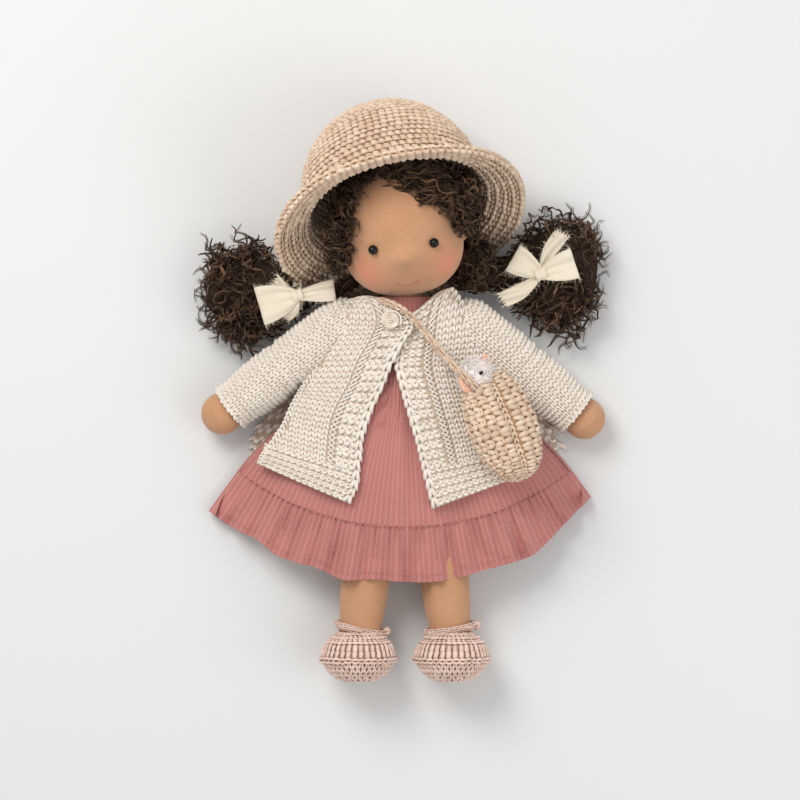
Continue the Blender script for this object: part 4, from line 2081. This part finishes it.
@dataclass
class Bag:
    """The crocheted raffia bag: two cupped panels that meet in a sunken chain seam."""

    def build(self) -> None:
        """Make both panels and the seam."""
        for name, sign in (("front", -1), ("back", 1)):
            base = sheet_mesh(40, 40, lambda u, v, sign=sign: self.panel(u, v, sign, -0.0008), weld=False)
            bmesh.ops.recalc_face_normals(base, faces=base.faces)
            settle(mesh_object(f"bag_under_{name}", thickened(base, 0.0012), STRAW_BASE), "bag", f"bag_{name}")
            cells = self.rounds(sign)
            surface = self.facing_out(sign)
            settle(laid(f"bag_panel_{name}", puff_stitch(), cells, surface, STRAW, 0.07, -0.0004), "bag")
        self.seam()
        self.rim()

    def panel(self, u: Array, v: Array, sign: int, grow: float) -> Array:
        """A panel's surface: u goes round it from the seam in front to the seam behind, and v down it.

        Args:
            u: shares round it.
            v: shares down it.
            sign: -1 for the panel on the left and 1 for the one on the right.
            grow: how far outside it.

        Returns:
            The points.
        """
        turn = math.pi * (0.5 - u) if sign > 0 else math.pi * (0.5 + u)
        tilt = np.pi * (BAG_MOUTH + (1 - BAG_MOUTH) * v)
        seam = 1 - 0.26 * hill(np.minimum(u, 1 - u) / 0.075)
        ridge = 1 + (0.10 * hill((u - 0.30) / 0.06) if sign > 0 else 0.0)
        size = BAG_SIZE + grow
        ring = np.maximum(np.sin(tilt), 0) ** BAG_SQUARE * seam * ridge
        return in_bag(size[0] * ring * np.cos(turn), -size[1] * np.cos(tilt), size[2] * ring * np.sin(turn))

    def facing_out(self, sign: int) -> Surface:
        """The panel with its first share along it and its second round it, so that its normals point out."""
        if sign > 0:
            return lambda along, turn: self.panel(turn, along, sign, -0.0002)
        return lambda along, turn: self.panel(1 - turn, along, sign, -0.0002)

    def rounds(self, sign: int) -> Cells:
        """Rows of stitches along the bag, of which fewer go on where it narrows to its bottom."""
        parts: list[Cells] = []
        stitches = 13
        for k in range(stitches):
            along = (k + 0.5) / stitches
            ring = math.sin(math.pi * (BAG_MOUTH + (1 - BAG_MOUTH) * along)) ** BAG_SQUARE
            rows = max(round(9 * ring), 3)
            turn = 0.05 + 0.90 * (np.arange(rows) + 0.5) / rows
            parts.append(Cells.of(along, turn, 1.05 / stitches, 1.02 / rows, 0.0042))
        return Cells.joined(parts)

    def seam(self) -> None:
        """The chain that joins the panels, sunk between them, all the way round."""
        def surface(u: Array, v: Array) -> Array:
            """Its points, at shares round or across it and along it."""
            tilt = np.pi * (BAG_MOUTH + 2 * (1 - BAG_MOUTH) * v)
            face = np.where(tilt <= math.pi, 1.0, -1.0)
            ring = np.abs(np.sin(tilt)) ** BAG_SQUARE * 0.80
            return in_bag((u - 0.5) * 0.0040, -BAG_SIZE[1] * np.cos(tilt), BAG_SIZE[2] * ring * face)

        cells = Cells.rows(1, 46, 0.0024)
        settle(laid("bag_seam_chain", knit_vee(), cells, lambda u, v: surface(1 - u, v), STRAW, 0.05), "bag")

    def rim(self) -> None:
        """The mouth's edge: a chain round the opening."""
        def surface(u: Array, v: Array) -> Array:
            """Its points, at shares round or across it and along it."""
            turn, corner = 2 * math.pi * u, 2 * math.pi * v
            tilt = math.pi * 0.165
            ring = math.sin(tilt) ** BAG_SQUARE + 0.03 * np.cos(corner)
            down = -BAG_SIZE[1] * math.cos(tilt) + 0.0009 * np.sin(corner)
            wide, deep = BAG_SIZE[0] * ring * np.cos(turn), BAG_SIZE[2] * ring * np.sin(turn)
            return in_bag(wide * 1.03, down, deep * 1.03)

        settle(laid("bag_rim", chain_across(), Cells.rows(16, 3, 0.0014), surface, STRAW, 0.05), "bag")


@dataclass
class Plush:
    """The small fluffy animal that looks out of the bag."""

    radius: float = 0.0092

    def build(self) -> None:
        """Make its body, fluff, ears, eye and nose."""
        centre = BAG_MIDDLE - BAG_DOWN * (0.0330 - 0.35 * self.radius) - BAG_ACROSS * 0.25 * self.radius
        centre = centre + BAG_UP * 0.20 * self.radius - BAG_ACROSS * 0.0014
        radii = self.radius * np.array([1.22, 1.15, 0.85])
        bm = bmesh.new()
        bmesh.ops.create_icosphere(bm, subdivisions=4, radius=1)
        shaped(bm, lambda way: centre + way * radii * 0.94 @ BAG_AXES)
        settle(mesh_object("plush_body", bm, FLUFF_BASE), "plush", "plush_animal")
        random = np.random.default_rng(SEED)
        way = unit(random.normal(size=(1700, 3)))
        root = centre + (way * radii * 0.92) @ BAG_AXES
        out = unit(way / radii) @ BAG_AXES
        long = random.uniform(0.0010, 0.0026, (len(way), 1))
        bend = unit(random.normal(size=way.shape))
        middle, tip = root + out * long * 0.6 + bend * 0.0004, root + out * long + bend * 0.0010
        spines = np.stack([root, middle, tip], axis=1)
        paths = curled(spines, random.uniform(0.0001, 0.0005, len(way)), random.uniform(0.8, 2.0, len(way)),
                       random.uniform(0, 6.28, len(way)), 7)
        settle(strands("plush_fluff", paths, 0.00016, FLUFF), "plush")
        for name, across, down, size in (("near", -1.02, 0.12, 1.15), ("far", 0.80, -0.72, 0.7)):
            ear = centre + (BAG_ACROSS * across + BAG_DOWN * down + BAG_UP * 0.34) * self.radius
            self.ear(f"plush_ear_{name}", ear, size)
        eye = centre + (BAG_UP * 0.86 - BAG_ACROSS * 0.05 - BAG_DOWN * 0.10) * self.radius
        bead = ball(24, 16, lambda way: eye + way * 0.00125)
        settle(mesh_object("plush_bead", bead, BEAD), "plush", "plush_eye")

    def ear(self, name: str, centre: Array, size: float) -> None:
        """A felt ear, cupped, with a soft back."""
        def rule(way: Array) -> Array:
            """Where the points of a unit ball go."""
            x, y, z = way.T
            cup = -0.5 * hill(x / 0.6, y / 0.6) * (z > 0)
            return centre + xyz(0.0034 * x, 0.0050 * y, 0.0019 * (z + cup)) * size @ BAG_AXES

        settle(mesh_object(name, ball(28, 20, rule), PEACH), "plush")


# Bows

BOW_PETALS = {
    Side.LEFT: ((196, 0.022, 0.0215, 1), (8, 0.021, 0.0115, 1), (150, 0.015, 0.0090, 0), (236, 0.014, 0.0085, 0)),
    Side.RIGHT: ((18, 0.020, 0.0170, 1), (150, 0.018, 0.0160, 1), (62, 0.026, 0.0085, 0), (214, 0.026, 0.0090, 0)),
}


@dataclass
class Bow:
    """A torn strip of muslin that is tied round a pigtail: two loops, two frayed tails and a knot."""

    side: Side

    def build(self) -> None:
        """Make the bow's pieces."""
        knot = bow_knot(self.side)
        body, word = f"pigtail_{self.side.word}", self.side.word
        for k, (angle, long, wide, looped) in enumerate(BOW_PETALS[self.side]):
            way, across = self.ways(angle)
            shape = (self.loop if looped else self.tail)(knot, way, across, long, wide)
            bm = sheet_mesh(26, 44 if looped else 26, shape, weld=False)
            bmesh.ops.recalc_face_normals(bm, faces=bm.faces)
            piece = mesh_object(f"bow_{word}_{k}", thickened(bm, 0.0005), MUSLIN)
            settle(piece, body, *([f"bow_{word}"] if k == 0 else []))
            settle(self.frayed(f"bow_fray_{word}_{k}", shape, looped), body)
        self.knot(knot, body)
        if self.side is Side.LEFT:
            self.tie(body)

    def ways(self, angle: float) -> tuple[Array, Array]:
        """The ways along a strip and across it, from its angle in degrees."""
        turn = math.radians(angle)
        return np.array([math.cos(turn), math.sin(turn), 0]), np.array([-math.sin(turn), math.cos(turn), 0])

    def loop(self, knot: Array, way: Array, across: Array, long: float, wide: float) -> Surface:
        """A loop: the strip goes out, turns round and comes back under itself."""
        def shape(u: Array, v: Array) -> Array:
            """Its points, at shares round or across it and along it."""
            turn = 2 * math.pi * v
            reach = 0.5 * (1 - np.cos(turn)) * long
            spread = 0.30 + 0.70 * np.sin(math.pi * np.clip(reach / long, 0, 1) / 2) ** 0.8
            out = reach / long
            pleats = 0.0007 * np.sin(u * 17 + 2 * v) * (1 - 0.6 * out) + 0.0010 * np.cos(u * 9 - 3 * v) * out
            high = 0.0018 * np.sin(turn) * (0.4 + out) + pleats
            side = (u - 0.5) * wide * spread
            return knot + way * reach[..., None] + across * side[..., None] + xyz(0.0, 0.0, high)

        return shape

    def tail(self, knot: Array, way: Array, across: Array, long: float, wide: float) -> Surface:
        """A tail that lies over the curls and widens to its torn end."""
        def shape(u: Array, v: Array) -> Array:
            """Its points, at shares round or across it and along it."""
            spread = 0.45 + 0.55 * smooth_step(v, 0.0, 0.7)
            sway = 0.0016 * np.sin(v * 3.2)
            high = -0.0016 * v + 0.0009 * np.sin(u * 8 + 5 * v) * (0.4 + v)
            ragged = 0.0008 * np.sin(u * 31) * (v > 0.99)
            side = (u - 0.5) * wide * spread + sway
            out = way * (v * long + ragged)[..., None] + across * side[..., None]
            return knot + out + xyz(0.0, 0.0, high - 0.0006)

        return shape

    def frayed(self, name: str, shape: Surface, looped: int) -> Piece:
        """Loose threads along the torn edges."""
        random = np.random.default_rng(SEED + len(name))
        count = 120
        v = random.uniform(0.08, 0.92 if looped else 1.0, count)
        u = np.where(random.uniform(size=count) < 0.5, 0.0, 1.0)
        if not looped:
            ends = random.uniform(size=count) < 0.45
            u, v = np.where(ends, random.uniform(size=count), u), np.where(ends, 1.0, v)
        root = shape(u, v)
        inner = shape(0.5 + (u - 0.5) * 0.9, v * 0.97)
        out = unit(root - inner + random.normal(size=root.shape) * 0.0004)
        long = random.uniform(0.0008, 0.0026, (count, 1))
        bend = random.normal(size=root.shape) * 0.0005
        middle, tip = root + out * long * 0.5 + bend, root + out * long + bend * 2
        paths = np.stack([root - out * 0.0003, middle, tip], axis=1)
        return strands(name, paths, 0.00010, MUSLIN)

    def knot(self, at: Array, body: str) -> None:
        """The knot: a short wrap of the strip over the loops."""
        way, across = self.ways(BOW_PETALS[self.side][0][0])

        def shape(u: Array, v: Array) -> Array:
            """Its points, at shares round or across it and along it."""
            corner = 2 * math.pi * v
            fold = 1 + 0.10 * np.sin(u * 12)
            return (at + way * ((u - 0.5) * 0.0062)[..., None] + across * (0.0036 * np.cos(corner) * fold)[..., None]
                    + xyz(0.0, 0.0, 0.0030 * np.sin(corner) * fold))

        settle(mesh_object(f"bow_knot_{self.side.word}", closed(sheet_mesh(18, 30, shape)), MUSLIN), body)

    def tie(self, body: str) -> None:
        """The strip's turn round the pigtail."""
        share = TIE_SHARE[self.side]
        middle = along_points(PIGTAIL_SPINE[self.side], np.array([share]))[0]
        rows = curve_through(PIGTAIL_SHARES, np.array([share]))[0]
        way = unit(np.array(PIGTAIL_SPINE[self.side][3]) - np.array(PIGTAIL_SPINE[self.side][1]))
        across = unit(np.cross(way, [0.0, 0.0, 1.0]))
        wide, tall = PIGTAIL_WIDTH[self.side] * rows[0] * 1.02, PIGTAIL_HEIGHT * rows[1] * 1.05

        def shape(u: Array, v: Array) -> Array:
            """Its points, at shares round or across it and along it."""
            turn = 2 * math.pi * v
            return (middle + way * ((u - 0.5) * 0.0050)[..., None] + across * (wide * np.cos(turn))[..., None]
                    + xyz(0.0, 0.0, np.maximum(tall * np.sin(turn) + 0.0003 * np.sin(u * 20), -middle[2] + 0.0006)))

        bm = sheet_mesh(10, 60, shape)
        settle(mesh_object(f"bow_tie_{self.side.word}", thickened(bm, 0.0005), MUSLIN), body)


def main() -> None:
    """Build the studio and the doll, piece by piece."""
    parts = [Studio(), Strap(), Head(), Torso(), *(Arm(side) for side in Side), *(Leg(side) for side in Side),
             Dress(), *(Front(side) for side in Side), Back(), Hat(), Hair(), Bag(), Plush(),
             *(Bow(side) for side in Side)]
    for part in parts:
        log.info("building %s", type(part).__name__)
        part.build()


if __name__ == "__main__":
    main()
